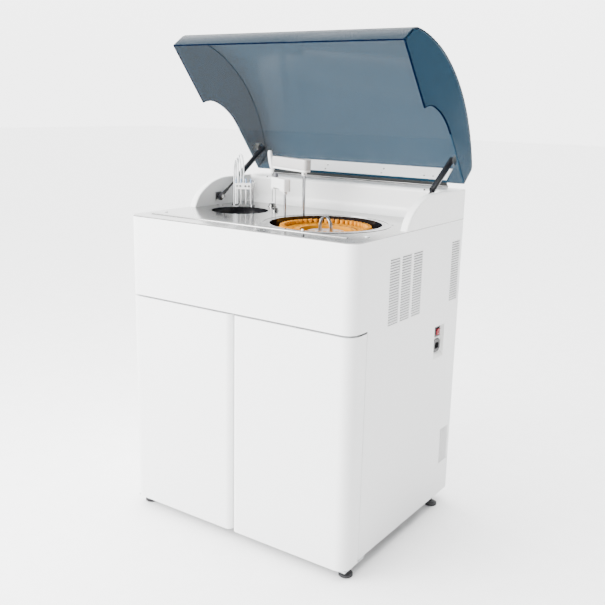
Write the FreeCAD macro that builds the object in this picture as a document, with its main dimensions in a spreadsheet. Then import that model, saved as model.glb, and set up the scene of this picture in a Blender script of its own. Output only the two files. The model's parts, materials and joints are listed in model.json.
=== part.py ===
import FreeCAD, Part
import math
import os
import types
import Sketcher

# Driving sizes in millimetres, angles in degrees and counts. X runs to the right, the front
# plane of the cabinet is at y = 0, and the floor is at z = 0.
SIZES = {
    # cabinet
    "cabinet_width": 820,
    "cabinet_depth": 665,
    "front_to_datum": 355,
    "door_low": 35,
    "door_high": 721,
    "upper_low": 727,
    "side_low": 43,
    "deck_top": 974.5,
    "hood_top": 1067.5,
    "corner_round": 36,
    "sheet_wall": 2,
    "panel_wall": 2,
    "overrun": 5,
    "running_gap": 0.05,
    "seat_gap": 0.3,
    # levelling feet
    "foot_radius": 21,
    "foot_edge": 2,
    "foot_neck": 13,
    "foot_rim": 8,
    "foot_height": 12,
    "stem_radius": 5,
    "nut_radius": 9,
    "nut_height": 6,
    "front_foot_inset": 24,
    "front_foot_y": 50,
    "rear_foot_inset": 70,
    # door pivots
    "outrigger_low": 28,
    "outrigger_wall": 6,
    "outrigger_half": 19,
    "outrigger_front": 12,
    "pivot_inset": 25,
    "pivot_y": 25,
    "pivot_pin": 4,
    "pivot_length": 13,
    "pivot_boss": 9,
    "boss_length": 8,
    # frame
    "frame_low": 42,
    "frame_tube": 30,
    "frame_inset": 5,
    "frame_front": 90,
    "frame_back_inset": 15,
    "post_wall": 2,
    "pan_front": 84,
    "pan_gap": 0.5,
    # doors
    "door_split": 3,
    "door_edge_round": 18,
    "door_return": 40,
    "door_wrap": 75,
    "wrap_gap": 2,
    "liner_wall": 2,
    "liner_bulge": 4,
    "liner_margin": 45,
    # louvred plates
    "slot_length": 58,
    "slot_height": 3.4,
    "slot_pitch": 7.75,
    "column_pitch": 70.5,
    "slot_rows": 25,
    "low_rows": 16,
    "vent_y": 189,
    "vent_z": 717,
    "rear_vent_inset": 73,
    "low_vent_z": 156,
    "vent_margin": 7,
    # mains pocket
    "pocket_inset": 167,
    "pocket_z": 541,
    "pocket_length": 75,
    "pocket_height": 109,
    "pocket_depth": 12,
    "pocket_slope": 14,
    "inlet_along": 40.5,
    "inlet_z": 580,
    "inlet_length": 47,
    "inlet_height": 42,
    "inlet_chamfer": 9,
    "inlet_flange": 4,
    "inlet_body": 22,
    "inlet_rim": 4,
    "socket_length": 27,
    "socket_height": 20,
    "socket_depth": 17,
    "socket_corner": 4.5,
    "contact_width": 6,
    "contact_wall": 2,
    "contact_length": 11,
    "contact_pitch": 7,
    "contact_rise": 2.5,
    "switch_along": 45.5,
    "switch_z": 625.5,
    "switch_length": 34,
    "switch_height": 34,
    "switch_flange": 2.5,
    "switch_rim": 3,
    "rocker_gap": 0.7,
    "rocker_inset": 7,
    "rocker_reach": 7,
    "rocker_waist": 4,
    "rocker_tilt": 8,
    "rocker_pin": 1.5,
    # rear panel and fan
    "fan_inset": 210,
    "fan_z": 840,
    "fan_half": 60,
    "fan_depth": 25,
    "fan_bore": 57,
    "fan_spoke": 5,
    "fan_spoke_depth": 3,
    "fan_cup": 20,
    "fan_cup_depth": 6,
    "fan_pin": 2,
    "fan_pin_length": 12,
    "fan_hub": 19,
    "fan_hub_depth": 15,
    "fan_tip": 54,
    "fan_blade_wall": 1.6,
    "fan_blade_half": 11,
    "fan_blades": 7,
    "guard_inner": 16,
    "guard_outer": 53,
    "guard_slot": 5,
    "guard_slots": 16,
    # deck
    "shelf_wall": 2,
    "deck_low": 930,
    "deck_wall": 8,
    "deck_front": 40,
    "deck_back_inset": 10,
    "worktop_wall": 3,
    "reaction_inset": 182,
    "reaction_y": 322,
    "reaction_opening": 100,
    "reagent_inset": 265,
    "reagent_y": 265,
    "reagent_opening": 176,
    "ripple_inner": 187,
    "ripple_outer": 195,
    "ripple_rise": 1,
    "bowl_gap": 0.5,
    "reaction_bowl_wall": 6.5,
    "reagent_bowl_wall": 7.5,
    "bowl_floor": 3,
    "bowl_flange": 7,
    "bowl_flange_wall": 4,
    "bowl_drain": 8,
    "reaction_bowl_low": 900,
    "reagent_bowl_low": 860,
    "motor_half": 28.5,
    "motor_corner": 5,
    "motor_height": 57,
    "shaft_radius": 6,
    "shaft_high": 944,
    "rib_y": 62,
    "rib_width": 6,
    "rib_height": 5,
    "rib_round": 2.4,
    "rib_inset": 67,
    "buffer_inset": 40,
    "buffer_y": 124,
    "buffer_radius": 8,
    "buffer_height": 3,
    # hood and its side wings
    "hood_wall_inset": 90,
    "hood_edge": 12,
    "cove_radius": 30,
    "wing_wall": 25,
    "wing_crown_inset": 215,
    "wing_long_radius": 230,
    "wing_short_radius": 103,
    "wing_change": 130,
    "wing_edge": 5,
    # lid, drawn shut and then swung open round its hinge
    "hinge_behind": 2,
    "hinge_z": 1071,
    "lid_open": 51.2,
    "lid_radius_share": 0.73684211,
    "lid_centre_share": 0.62857143,
    "lid_rise_share": 0.1924812,
    "lid_wall": 5,
    "lid_front_y": 53.5,
    "lid_front_round": 21,
    "lid_rear_inset": 15,
    "lid_rear_round": 20,
    "lid_low": 976,
    "lid_wing_gap": 2.5,
    "lid_corner": 4,
    "strip_inset": 1,
    "strip_low": 1076,
    "strip_high": 1128,
    "strip_wall": 2,
    # long hinge
    "hinge_inset": 62,
    "knuckle_radius": 3.5,
    "hinge_pin": 1.5,
    "leaf_wall": 1.5,
    "leaf_height": 28,
    "leaf_clear": 4,
    "knuckles": 7,
    "knuckle_gap": 0.3,
    "lid_leaf_drop": 0.8,
    "lid_leaf_rise": 22,
    # gas struts
    "strut_inset": 38,
    "strut_foot_inset": 267,
    "strut_foot_z": 1003,
    "strut_head_inset": 89,
    "strut_head_z": 1096.7,
    "strut_radius": 9.5,
    "strut_tube": 155,
    "strut_bore_end": 13,
    "rod_radius": 4,
    "rod_reach": 185,
    "fitting_radius": 5.5,
    "fitting_low": 5,
    "fitting_length": 42,
    "eye_radius": 9,
    "eye_half": 6,
    "stud_radius": 4,
    "stud_head": 6,
    "stud_head_wall": 2,
    "bracket_half": 15,
    "bracket_wall": 2,
    "plate_half": 13,
    # reaction disc
    "disc_hub": 14,
    "disc_web_low": 912,
    "disc_web_high": 918,
    "disc_radius": 90,
    "disc_rim": 930,
    "disc_drum": 71.7,
    "disc_top": 951,
    "disc_slope": 4,
    "disc_slope_width": 10,
    "bore_roof": 2,
    "cuvette_inner": 72,
    "cuvette_outer": 88,
    "cuvette_top": 948,
    "cuvette_ring": 80,
    "cuvette_length": 11,
    "cuvette_width": 5,
    "cuvette_depth": 26,
    "cuvettes": 60,
    "cuvette_phase": 18.2,
    # reagent disc
    "rotor_hub": 16,
    "rotor_web_low": 872,
    "rotor_web_high": 876,
    "rotor_radius": 148,
    "rotor_drum": 61,
    "rotor_top": 951,
    "rotor_edge": 6,
    "rack_inner": 78,
    "rack_outer": 146,
    "rack_top": 957,
    "outer_bore_low": 121,
    "outer_bore_high": 140,
    "outer_bores": 48,
    "bore_web": 2.6,
    "bore_depth": 45,
    "inner_ring": 97,
    "inner_bore": 9,
    "inner_bores": 24,
    "rack_phase": 197,
    "handle_half": 22.5,
    "handle_height": 35,
    "handle_band": 6,
    "handle_width": 10,
    "handle_round": 12,
    # sample probe
    "probe_out": 191,
    "probe_behind": 90,
    "probe_angle": 158,
    "probe_reach": 194,
    "probe_column": 5,
    "probe_column_low": 866,
    "probe_arm_low": 1106,
    "probe_arm_high": 1146,
    "probe_arm_half": 15,
    "probe_tail": 22,
    "probe_tail_round": 12,
    "probe_nose": 18,
    "probe_nose_low": 1088,
    "probe_nose_high": 1163,
    "probe_nose_half": 9,
    "probe_crown": 12,
    "arm_socket": 30,
    "needle_radius": 1,
    "needle_tip": 990,
    "needle_sleeve": 4,
    "needle_sleeve_length": 14,
    # stirrer
    "stirrer_out": 162,
    "stirrer_behind": 27,
    "stirrer_angle": 147,
    "stirrer_reach": 86,
    "stirrer_column": 4,
    "stirrer_column_low": 866,
    "stirrer_low": 1047,
    "stirrer_high": 1085,
    "stirrer_half": 13,
    "stirrer_tail": 16,
    "stirrer_nose": 12,
    "stirrer_socket": 26,
    "paddle_shaft": 1,
    "paddle_top": 1068,
    "paddle_tip": 985,
    "paddle_half": 1.8,
    "paddle_height": 8,
    "paddle_wall": 0.8,
    # drives of both arms
    "drive_half": 22,
    "drive_low": 872,
    "drive_boss": 9,
    "drive_boss_rise": 3,
    # wash station
    "post_out": 50.6,
    "post_aside": -24,
    "post_radius": 4,
    "post_top": 1062,
    "post_collar": 9,
    "post_collar_height": 4,
    "carriage_low": 1036,
    "carriage_high": 1056,
    "carriage_half": 28,
    "carriage_width": 16,
    "carriage_arm": 14,
    "carriage_hub": 8,
    "nozzle_radius": 1.2,
    "nozzle_tip": 985,
    "nozzle_sleeve": 2.4,
    "nozzle_sleeve_drop": 14,
    "nozzle_step": 12,
    "wash_turn": 102,
    "tube_radius": 2.6,
    "tube_pitch": 9,
    "tube_high": 1152,
    "tube_out": 76,
    "tube_aside": 32,
    "tube_spread": 6,
    "tube_end": 942,
    "grommet_radius": 14,
    "grommet_bore": 11.5,
    "grommet_rise": 3,
    "probe_well": 12,
    "stirrer_well": 9,
    "well_wall": 2,
    "well_top": 984,
    "well_low": 926,
    "well_flange": 3,
    "well_flange_wall": 2,
    # what the cabinet holds
    "supply_inset": 220,
    "supply_y": 300,
    "supply_width": 130,
    "supply_length": 220,
    "supply_height": 95,
    "supply_lip": 8,
    "board_half": 160,
    "board_low": 480,
    "board_high": 690,
    "board_wall": 1.6,
    "board_gap": 12,
    "board_pillar": 4,
    "board_margin": 10,
    "chip_half": 18,
    "chip_wall": 4,
    "heatsink_length": 70,
    "heatsink_depth": 20,
    "pump_inset": 80,
    "pump_y": 130,
    "pump_width": 90,
    "pump_length": 100,
    "pump_height": 165,
    "barrel_radius": 10,
    "barrel_length": 105,
    "barrel_sink": 3,
    "barrel_pitch": 44,
    "tank_inset": 60,
    "tank_y": 200,
    "tank_width": 160,
    "tank_length": 280,
    "tank_height": 320,
    "tank_round": 25,
    "tank_pitch": 180,
    "tank_neck": 26,
    "tank_neck_height": 14,
    "tank_cap": 32,
    "tank_cap_height": 22,
}
NOZZLE_SHARES = (-1.5, -0.5, 0.5, 1.5)
TUBE_SHARES = (0, 1, 2)
TUBE_ROUTE_SHARES = ((0, 0), (0, 0.5), (0.2, 0.9), (0.62, 1), (1, 0.58))

doc = FreeCAD.newDocument("ChemistryAnalyzer")
sheet = doc.addObject("Spreadsheet::Sheet", "Sizes")


class Size:
    """A size with its number and with the spreadsheet formula that gives the number."""

    def __init__(self, value, formula):
        self.value = value
        self.formula = formula

    def __add__(self, other):
        other = as_size(other)
        return Size(self.value + other.value, f"({self.formula} + {other.formula})")

    def __sub__(self, other):
        other = as_size(other)
        return Size(self.value - other.value, f"({self.formula} - {other.formula})")

    def __mul__(self, other):
        other = as_size(other)
        return Size(self.value * other.value, f"({self.formula} * {other.formula})")

    def __truediv__(self, other):
        other = as_size(other)
        return Size(self.value / other.value, f"({self.formula} / {other.formula})")

    def __neg__(self):
        return Size(-self.value, f"(-1 * {self.formula})")

    def __rmul__(self, other):
        return as_size(other) * self

    def __rsub__(self, other):
        return as_size(other) - self

    def __radd__(self, other):
        return as_size(other) + self


def as_size(thing):
    """A plain number is its own formula."""
    return thing if isinstance(thing, Size) else Size(thing, str(float(thing)))


def root(size):
    return Size(math.sqrt(size.value), f"sqrt({size.formula})")


def sine(angle):
    return Size(math.sin(math.radians(angle.value)), f"sin({angle.formula})")


def cosine(angle):
    return Size(math.cos(math.radians(angle.value)), f"cos({angle.formula})")


def write_sheet():
    """Puts every driving size in the sheet and returns them by name."""
    sizes = types.SimpleNamespace()
    for row, (name, value) in enumerate(SIZES.items(), start=1):
        sheet.set(f"A{row}", name)
        sheet.set(f"B{row}", str(value))
        sheet.setAlias(f"B{row}", name)
        setattr(sizes, name, Size(float(value), f"Sizes.{name}"))
    doc.recompute()
    return sizes


S = write_sheet()
HALF = S.cabinet_width / 2
DEPTH = S.cabinet_depth
FRONT_VIEW, SIDE_VIEW, PLAN_VIEW = "XZ_Plane", "YZ_Plane", "XY_Plane"


def follow_width():
    """Places that keep their distance from the sides of the cabinet."""
    S.front_foot_x = HALF - S.front_foot_inset
    S.rear_foot_x = HALF - S.foot_radius
    S.pivot_x = HALF - S.pivot_inset
    S.fan_x = HALF - S.fan_inset
    S.reaction_x = S.reaction_inset - HALF
    S.reagent_x = HALF - S.reagent_inset
    S.rib_left = S.corner_round - HALF
    S.rib_right = HALF - S.rib_inset
    S.buffer_x = HALF - S.buffer_inset
    S.hinge_half = HALF - S.hinge_inset
    S.strip_half = S.hinge_half - S.strip_inset
    S.strut_x = HALF - S.strut_inset
    S.supply_x = HALF - S.supply_inset
    S.pump_x = S.pump_inset - HALF
    S.tank_x = S.tank_inset - HALF
    S.probe_x = S.reaction_x + S.probe_out
    S.stirrer_x = S.reaction_x + S.stirrer_out


def follow_depth():
    """Places that keep their distance from the back of the cabinet, and the lid's arch."""
    S.rear_foot_y = DEPTH - S.rear_foot_inset
    S.frame_back = DEPTH - S.frame_back_inset
    S.rear_vent_y = DEPTH - S.rear_vent_inset
    S.pocket_y = DEPTH - S.pocket_inset
    S.inlet_y = S.pocket_y + S.inlet_along
    S.switch_y = S.pocket_y + S.switch_along
    S.deck_back = DEPTH - S.deck_back_inset
    S.hood_wall_y = DEPTH - S.hood_wall_inset
    S.wing_crown_y = DEPTH - S.wing_crown_inset
    S.hinge_y = DEPTH + S.hinge_behind
    S.lid_radius = DEPTH * S.lid_radius_share
    S.lid_centre_y = DEPTH * S.lid_centre_share
    S.lid_centre_z = S.hinge_z + DEPTH * S.lid_rise_share - S.lid_radius
    S.lid_rear_y = DEPTH - S.lid_rear_inset
    S.strut_foot_y = DEPTH - S.strut_foot_inset
    S.strut_head_y = DEPTH - S.strut_head_inset
    S.probe_y = S.reaction_y + S.probe_behind
    S.stirrer_y = S.reaction_y + S.stirrer_behind


follow_width()
follow_depth()


def bind(item, prop, size):
    item.setExpression(prop, as_size(size).formula)


def make_body(name):
    body = doc.addObject("PartDesign::Body", name)
    body.Label = name
    body.AllowCompound = True
    return body


def place(part, x, y, z, axis=None, angle=None):
    """Puts a part's own datum at a place in the cabinet, turned about an axis."""
    if angle is not None:
        part.Placement = FreeCAD.Placement(FreeCAD.Vector(), FreeCAD.Rotation(axis, angle.value))
        bind(part, "Placement.Rotation.Angle", angle)
    bind(part, "Placement.Base.x", x)
    bind(part, "Placement.Base.y", as_size(y) - S.front_to_datum)
    bind(part, "Placement.Base.z", z)
    return part


def stand(part):
    """For a part that is drawn where it stands in the cabinet."""
    return place(part, 0, 0, 0)


def origin_part(body, role):
    return [part for part in body.Origin.OriginFeatures if part.Role == role][0]


def box(x_low, y_low, x_high, y_high):
    return [(x_low, y_low), (x_high, y_low), (x_high, y_high), (x_low, y_high)]


def rounded_box(x_low, y_low, x_high, y_high, radius):
    return [
        (x_high - radius, y_low),
        (x_high, y_low + radius, radius, 1),
        (x_high, y_high - radius),
        (x_high - radius, y_high, radius, 1),
        (x_low + radius, y_high),
        (x_low, y_high - radius, radius, 1),
        (x_low, y_low + radius),
        (x_low + radius, y_low, radius, 1),
    ]


def centred_box(x, y, x_half, y_half):
    return box(x - x_half, y - y_half, x + x_half, y + y_half)


def circle(x, y, radius):
    return (as_size(x), as_size(y), as_size(radius))


def mirrored(corners):
    """The same outline on the other side of x = 0."""
    return [(-as_size(corner[0]), corner[1]) + tuple(corner[2:3]) + tuple(-turn for turn in corner[3:])
            for corner in corners]


def on_side(corners, side):
    return corners if side > 0 else mirrored(corners)


def edge_to(start, corner):
    """A line to the corner, or an arc where the corner carries a radius and a turn."""
    first = FreeCAD.Vector(as_size(start[0]).value, as_size(start[1]).value, 0)
    last = FreeCAD.Vector(as_size(corner[0]).value, as_size(corner[1]).value, 0)
    if len(corner) == 2:
        return Part.LineSegment(first, last)
    radius = as_size(corner[2]).value
    chord = last - first
    rise = math.sqrt(max(radius ** 2 - chord.Length ** 2 / 4, 0))
    across = FreeCAD.Vector(-chord.y, chord.x, 0).normalize() * rise * corner[3]
    centre = (first + last) / 2 + across
    ends = (first, last) if corner[3] > 0 else (last, first)
    angles = [math.atan2((end - centre).y, (end - centre).x) for end in ends]
    round_edge = Part.Circle(centre, FreeCAD.Vector(0, 0, 1), radius)
    return Part.ArcOfCircle(round_edge, angles[0], angles[1])


def pin_point(rules, formulas, geometry, point, x, y):
    """Holds a point of the sketch at its two named distances from the sketch's origin."""
    for kind, size in (("DistanceX", as_size(x)), ("DistanceY", as_size(y))):
        formulas[len(rules)] = size.formula
        rules.append(Sketcher.Constraint(kind, -1, 1, geometry, point, size.value))


def add_loop(sketch, corners):
    """A closed outline whose corners and radii all follow the sheet."""
    first = sketch.GeometryCount
    count = len(corners)
    sketch.addGeometry([edge_to(corners[i - 1], corners[i]) for i in range(count)], False)
    rules = []
    formulas = {}
    for index, corner in enumerate(corners):
        following = corners[(index + 1) % count]
        end = 1 if len(corner) > 2 and corner[3] < 0 else 2
        start = 2 if len(following) > 2 and following[3] < 0 else 1
        next_edge = first + (index + 1) % count
        rules.append(Sketcher.Constraint("Coincident", first + index, end, next_edge, start))
        pin_point(rules, formulas, first + index, end, corner[0], corner[1])
        if len(corner) > 2:
            formulas[len(rules)] = as_size(corner[2]).formula
            rules.append(Sketcher.Constraint("Radius", first + index, as_size(corner[2]).value))
    bind_rules(sketch, rules, formulas)


def add_circle(sketch, ring):
    x, y, radius = ring
    centre = FreeCAD.Vector(x.value, y.value, 0)
    index = sketch.addGeometry(Part.Circle(centre, FreeCAD.Vector(0, 0, 1), radius.value), False)
    rules = []
    formulas = {}
    pin_point(rules, formulas, index, 3, x, y)
    formulas[len(rules)] = radius.formula
    rules.append(Sketcher.Constraint("Radius", index, radius.value))
    bind_rules(sketch, rules, formulas)


def bind_rules(sketch, rules, formulas):
    first = sketch.ConstraintCount
    sketch.addConstraint(rules)
    for index, formula in formulas.items():
        sketch.setExpression(f"Constraints[{first + index}]", formula)


def draw(body, view, offset, loops):
    sketch = body.newObject("Sketcher::SketchObject", body.Label + "_sketch")
    sketch.AttachmentSupport = [(origin_part(body, view), "")]
    sketch.MapMode = "FlatFace"
    bind(sketch, "AttachmentOffset.Base.z", offset)
    for loop in loops:
        if isinstance(loop, tuple):
            add_circle(sketch, loop)
        else:
            add_loop(sketch, loop)
    return sketch


def add(body, view, low, high, *loops):
    """Material between two levels: heights in plan, x in a side view, y in a front view."""
    low, high = as_size(low), as_size(high)
    offset = -high if view == FRONT_VIEW else low
    pad = body.newObject("PartDesign::Pad", body.Label + "_pad")
    pad.Profile = draw(body, view, offset, loops)
    bind(pad, "Length", high - low)
    return pad


def cut(body, view, low, high, *loops):
    """Takes material away between two levels."""
    low, high = as_size(low), as_size(high)
    offset = -low if view == FRONT_VIEW else high
    pocket = body.newObject("PartDesign::Pocket", body.Label + "_pocket")
    pocket.Profile = draw(body, view, offset, loops)
    bind(pocket, "Length", high - low)
    return pocket


def turn(body, *loops):
    """Material turned round the part's upright axis, drawn as radius and height."""
    revolution = body.newObject("PartDesign::Revolution", body.Label + "_turned")
    sketch = draw(body, FRONT_VIEW, 0, loops)
    revolution.Profile = sketch
    revolution.ReferenceAxis = (sketch, ["V_Axis"])
    revolution.Angle = 360
    return revolution


def repeat_round(body, feature, count, role="Z_Axis"):
    pattern = body.newObject("PartDesign::PolarPattern", body.Label + "_round")
    pattern.Originals = [feature]
    pattern.Axis = (origin_part(body, role), [""])
    pattern.Angle = 360
    bind(pattern, "Occurrences", count)
    body.Tip = pattern
    return pattern


def repeat_up(body, feature, count, pitch):
    pattern = body.newObject("PartDesign::LinearPattern", body.Label + "_rows")
    pattern.Originals = [feature]
    pattern.Direction = (origin_part(body, "Z_Axis"), [""])
    bind(pattern, "Length", pitch * (count - 1))
    bind(pattern, "Occurrences", count)
    body.Tip = pattern
    return pattern


def soften(body, radius, chosen):
    """Rounds the edges of the last feature that the test picks."""
    doc.recompute()
    base = body.Tip
    names = [f"Edge{index}" for index, edge in enumerate(base.Shape.Edges, start=1) if chosen(edge)]
    fillet = body.newObject("PartDesign::Fillet", body.Label + "_rounded")
    fillet.Base = (base, names)
    bind(fillet, "Radius", radius)
    return fillet


# Feet, frame and door pivots

def levelling_foot(name, x, y, seat, top):
    body = make_body(name)
    turn(body, [
        (0, 0),
        (S.foot_radius - S.foot_edge, 0),
        (S.foot_radius, S.foot_edge),
        (S.foot_radius, S.foot_rim),
        (S.foot_neck, S.foot_height),
        (S.stem_radius, S.foot_height),
        (S.stem_radius, top),
        (0, top),
    ])
    sixth = math.pi / 3
    nut = [(S.nut_radius * math.cos(sixth * step), S.nut_radius * math.sin(sixth * step)) for step in range(6)]
    add(body, PLAN_VIEW, seat - S.nut_height, seat, nut)
    return place(body, x, y, 0)


def door_pivot_brackets():
    body = make_body("door_pivot_brackets")
    top = S.outrigger_low + S.outrigger_wall
    back = S.frame_front + S.frame_tube
    for side in (1, -1):
        plate = box(S.front_foot_x - S.outrigger_half, S.outrigger_front,
                    S.front_foot_x + S.outrigger_half, back)
        block = box(S.front_foot_x - S.outrigger_half, S.frame_front,
                    S.front_foot_x + S.outrigger_half, back)
        foot_hole = circle(side * S.front_foot_x, S.front_foot_y, S.stem_radius + S.running_gap)
        add(body, PLAN_VIEW, S.outrigger_low, top, on_side(plate, side), foot_hole)
        add(body, PLAN_VIEW, top, S.frame_low, on_side(block, side))
        pin = circle(side * S.pivot_x, S.pivot_y, S.pivot_pin)
        add(body, PLAN_VIEW, top, top + S.pivot_length, pin)
    return stand(body)


def base_frame():
    body = make_body("base_frame")
    outer = HALF - S.frame_inset
    inner = outer - S.frame_tube
    middle = S.frame_tube / 2
    front = S.frame_front + S.frame_tube
    back = S.frame_back - S.frame_tube
    tube_top = S.frame_low + S.frame_tube
    add(body, PLAN_VIEW, S.frame_low, tube_top,
        box(-outer, S.frame_front, outer, S.frame_back),
        box(-inner, front, -middle, back),
        box(middle, front, inner, back))
    pan = HALF - S.sheet_wall - S.pan_gap
    pan_back = S.cabinet_depth - S.panel_wall - S.pan_gap
    add(body, PLAN_VIEW, tube_top, tube_top + S.sheet_wall, box(-pan, S.pan_front, pan, pan_back))
    return stand(body)


def frame_posts():
    body = make_body("frame_posts")
    low = S.frame_low + S.frame_tube + S.sheet_wall
    loops = []
    for x, y in post_centres():
        loops.append(centred_box(x, y, S.frame_tube / 2, S.frame_tube / 2))
        inner = S.frame_tube / 2 - S.post_wall
        loops.append(centred_box(x, y, inner, inner))
    add(body, PLAN_VIEW, low, S.deck_low, *loops)
    return stand(body)


def post_centres():
    x = HALF - S.frame_inset - S.frame_tube / 2
    front = S.frame_front + S.frame_tube / 2
    back = S.frame_back - S.frame_tube / 2
    return [(x, front), (-x, front), (x, back), (-x, back)]


# Casing, louvred plates and back panel

def casing_sheet():
    """The bent sheet seen from above: two sides and a front with rounded corners."""
    outer, inner = HALF, HALF - S.sheet_wall
    side = HALF - S.corner_round
    back = S.cabinet_depth - S.panel_wall
    bend = S.corner_round - S.sheet_wall
    return [
        (-outer, back),
        (-outer, S.corner_round),
        (-side, 0, S.corner_round, 1),
        (side, 0),
        (outer, S.corner_round, S.corner_round, 1),
        (outer, back),
        (inner, back),
        (inner, S.corner_round),
        (side, S.sheet_wall, bend, -1),
        (-side, S.sheet_wall),
        (-inner, S.corner_round, bend, -1),
        (-inner, back),
    ]


def vent_window(y, columns, z, rows):
    """The plate's outline round its slots, in a side view."""
    width = S.column_pitch * (columns - 1) + S.slot_length
    height = S.slot_pitch * (rows - 1) + S.slot_height
    margin = S.vent_margin
    return box(y - margin, z - margin, y + width + margin, z + height + margin)


def outer_casing():
    body = make_body("outer_casing")
    add(body, PLAN_VIEW, S.side_low, S.deck_top - S.worktop_wall, casing_sheet())
    edge = HALF + S.overrun
    cut(body, PLAN_VIEW, S.side_low - S.overrun, S.upper_low,
        box(-edge, -S.overrun, edge, S.door_wrap + S.wrap_gap))
    cut(body, SIDE_VIEW, HALF - S.sheet_wall - S.overrun, edge,
        vent_window(S.vent_y, 3, S.vent_z, S.slot_rows),
        vent_window(S.rear_vent_y, 1, S.vent_z, S.slot_rows),
        vent_window(S.rear_vent_y, 1, S.low_vent_z, S.low_rows),
        box(S.pocket_y, S.pocket_z, S.pocket_y + S.pocket_length, S.pocket_z + S.pocket_height))
    cut(body, SIDE_VIEW, -edge, S.sheet_wall + S.overrun - HALF,
        vent_window(S.vent_y, 3, S.vent_z, S.slot_rows))
    return stand(body)


def slot_field(body, side, y, columns, z, rows):
    """A plate flush in the side sheet, with rows of louvre slots."""
    low, high = HALF - S.sheet_wall, HALF
    if side < 0:
        low, high = -high, -low
    add(body, SIDE_VIEW, low, high, vent_window(y, columns, z, rows))
    slots = []
    for column in range(columns):
        start = y + S.column_pitch * column
        slots.append(box(start, z, start + S.slot_length, z + S.slot_height))
    first = cut(body, SIDE_VIEW, low - S.overrun, high + S.overrun, *slots)
    repeat_up(body, first, rows, S.slot_pitch)


def vent_grille_right():
    body = make_body("vent_grille_right")
    slot_field(body, 1, S.vent_y, 3, S.vent_z, S.slot_rows)
    slot_field(body, 1, S.rear_vent_y, 1, S.vent_z, S.slot_rows)
    slot_field(body, 1, S.rear_vent_y, 1, S.low_vent_z, S.low_rows)
    return stand(body)


def vent_grille_left():
    body = make_body("vent_grille_left")
    slot_field(body, -1, S.vent_y, 3, S.vent_z, S.slot_rows)
    return stand(body)


def back_panel():
    """The rear sheet, drawn about the fan's axis because its air slots lie round it."""
    body = make_body("back_panel")
    high = S.cabinet_depth
    low = high - S.panel_wall
    sheet_box = box(-HALF - S.fan_x, S.side_low - S.fan_z,
                    HALF - S.fan_x, S.deck_top - S.worktop_wall - S.fan_z)
    add(body, FRONT_VIEW, low, high, sheet_box)
    slot = box(-S.guard_slot / 2, S.guard_inner, S.guard_slot / 2, S.guard_outer)
    first = cut(body, FRONT_VIEW, low - S.overrun, high + S.overrun, slot)
    repeat_round(body, first, S.guard_slots, "Y_Axis")
    return place(body, S.fan_x, 0, S.fan_z)


def fan_housing():
    body = make_body("fan_housing")
    high = S.cabinet_depth - S.panel_wall
    low = high - S.fan_depth
    frame = rounded_box(-S.fan_half, -S.fan_half, S.fan_half, S.fan_half, S.fan_spoke)
    add(body, FRONT_VIEW, low, high, frame, circle(0, 0, S.fan_bore))
    reach = S.fan_bore + S.fan_spoke / 2
    add(body, FRONT_VIEW, low, low + S.fan_spoke_depth, box(-reach, -S.fan_spoke, reach, S.fan_spoke))
    add(body, FRONT_VIEW, low, low + S.fan_spoke_depth, box(-S.fan_spoke, -reach, S.fan_spoke, reach))
    add(body, FRONT_VIEW, low, low + S.fan_cup_depth, circle(0, 0, S.fan_cup))
    pin_end = low + S.fan_cup_depth + S.fan_pin_length
    add(body, FRONT_VIEW, low + S.fan_cup_depth, pin_end, circle(0, 0, S.fan_pin))
    return place(body, S.fan_x, 0, S.fan_z)


def fan_rotor():
    body = make_body("fan_rotor")
    low = S.cabinet_depth - S.panel_wall - S.fan_depth + S.fan_cup_depth + S.seat_gap
    high = low + S.fan_hub_depth
    add(body, FRONT_VIEW, low, high, circle(0, 0, S.fan_hub),
        circle(0, 0, S.fan_pin + S.running_gap))
    blade = [
        (-S.fan_blade_half, low),
        (S.fan_blade_wall - S.fan_blade_half, low),
        (S.fan_blade_half, high),
        (S.fan_blade_half - S.fan_blade_wall, high),
    ]
    first = add(body, PLAN_VIEW, S.fan_hub / 2, S.fan_tip, blade)
    repeat_round(body, first, S.fan_blades, "Y_Axis")
    return place(body, S.fan_x, 0, S.fan_z)


# Mains pocket with its inlet and its switch

def power_pocket():
    body = make_body("power_pocket")
    wall = S.sheet_wall
    face = HALF - S.pocket_depth
    y_low, z_low = S.pocket_y, S.pocket_z
    y_high = y_low + S.pocket_length
    z_high = z_low + S.pocket_height
    add(body, SIDE_VIEW, face - wall, HALF, box(y_low, z_low, y_high, z_high))
    cut(body, FRONT_VIEW, y_low + wall, y_high - wall, [
        (face, z_low + S.pocket_slope),
        (HALF + S.overrun, z_low - S.overrun),
        (HALF + S.overrun, z_high - wall),
        (face, z_high - wall),
    ])
    cut(body, SIDE_VIEW, face - wall - S.overrun, face + S.overrun,
        inlet_body_box(S.seat_gap), switch_body_box(S.seat_gap))
    return stand(body)


def inlet_body_box(gap):
    half_y = S.inlet_length / 2 - S.inlet_rim + gap
    half_z = S.inlet_height / 2 - S.inlet_rim + gap
    return centred_box(S.inlet_y, S.inlet_z, half_y, half_z)


def switch_body_box(gap):
    half_y = S.switch_length / 2 - S.switch_rim + gap
    half_z = S.switch_height / 2 - S.switch_rim + gap
    return centred_box(S.switch_y, S.switch_z, half_y, half_z)


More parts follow.
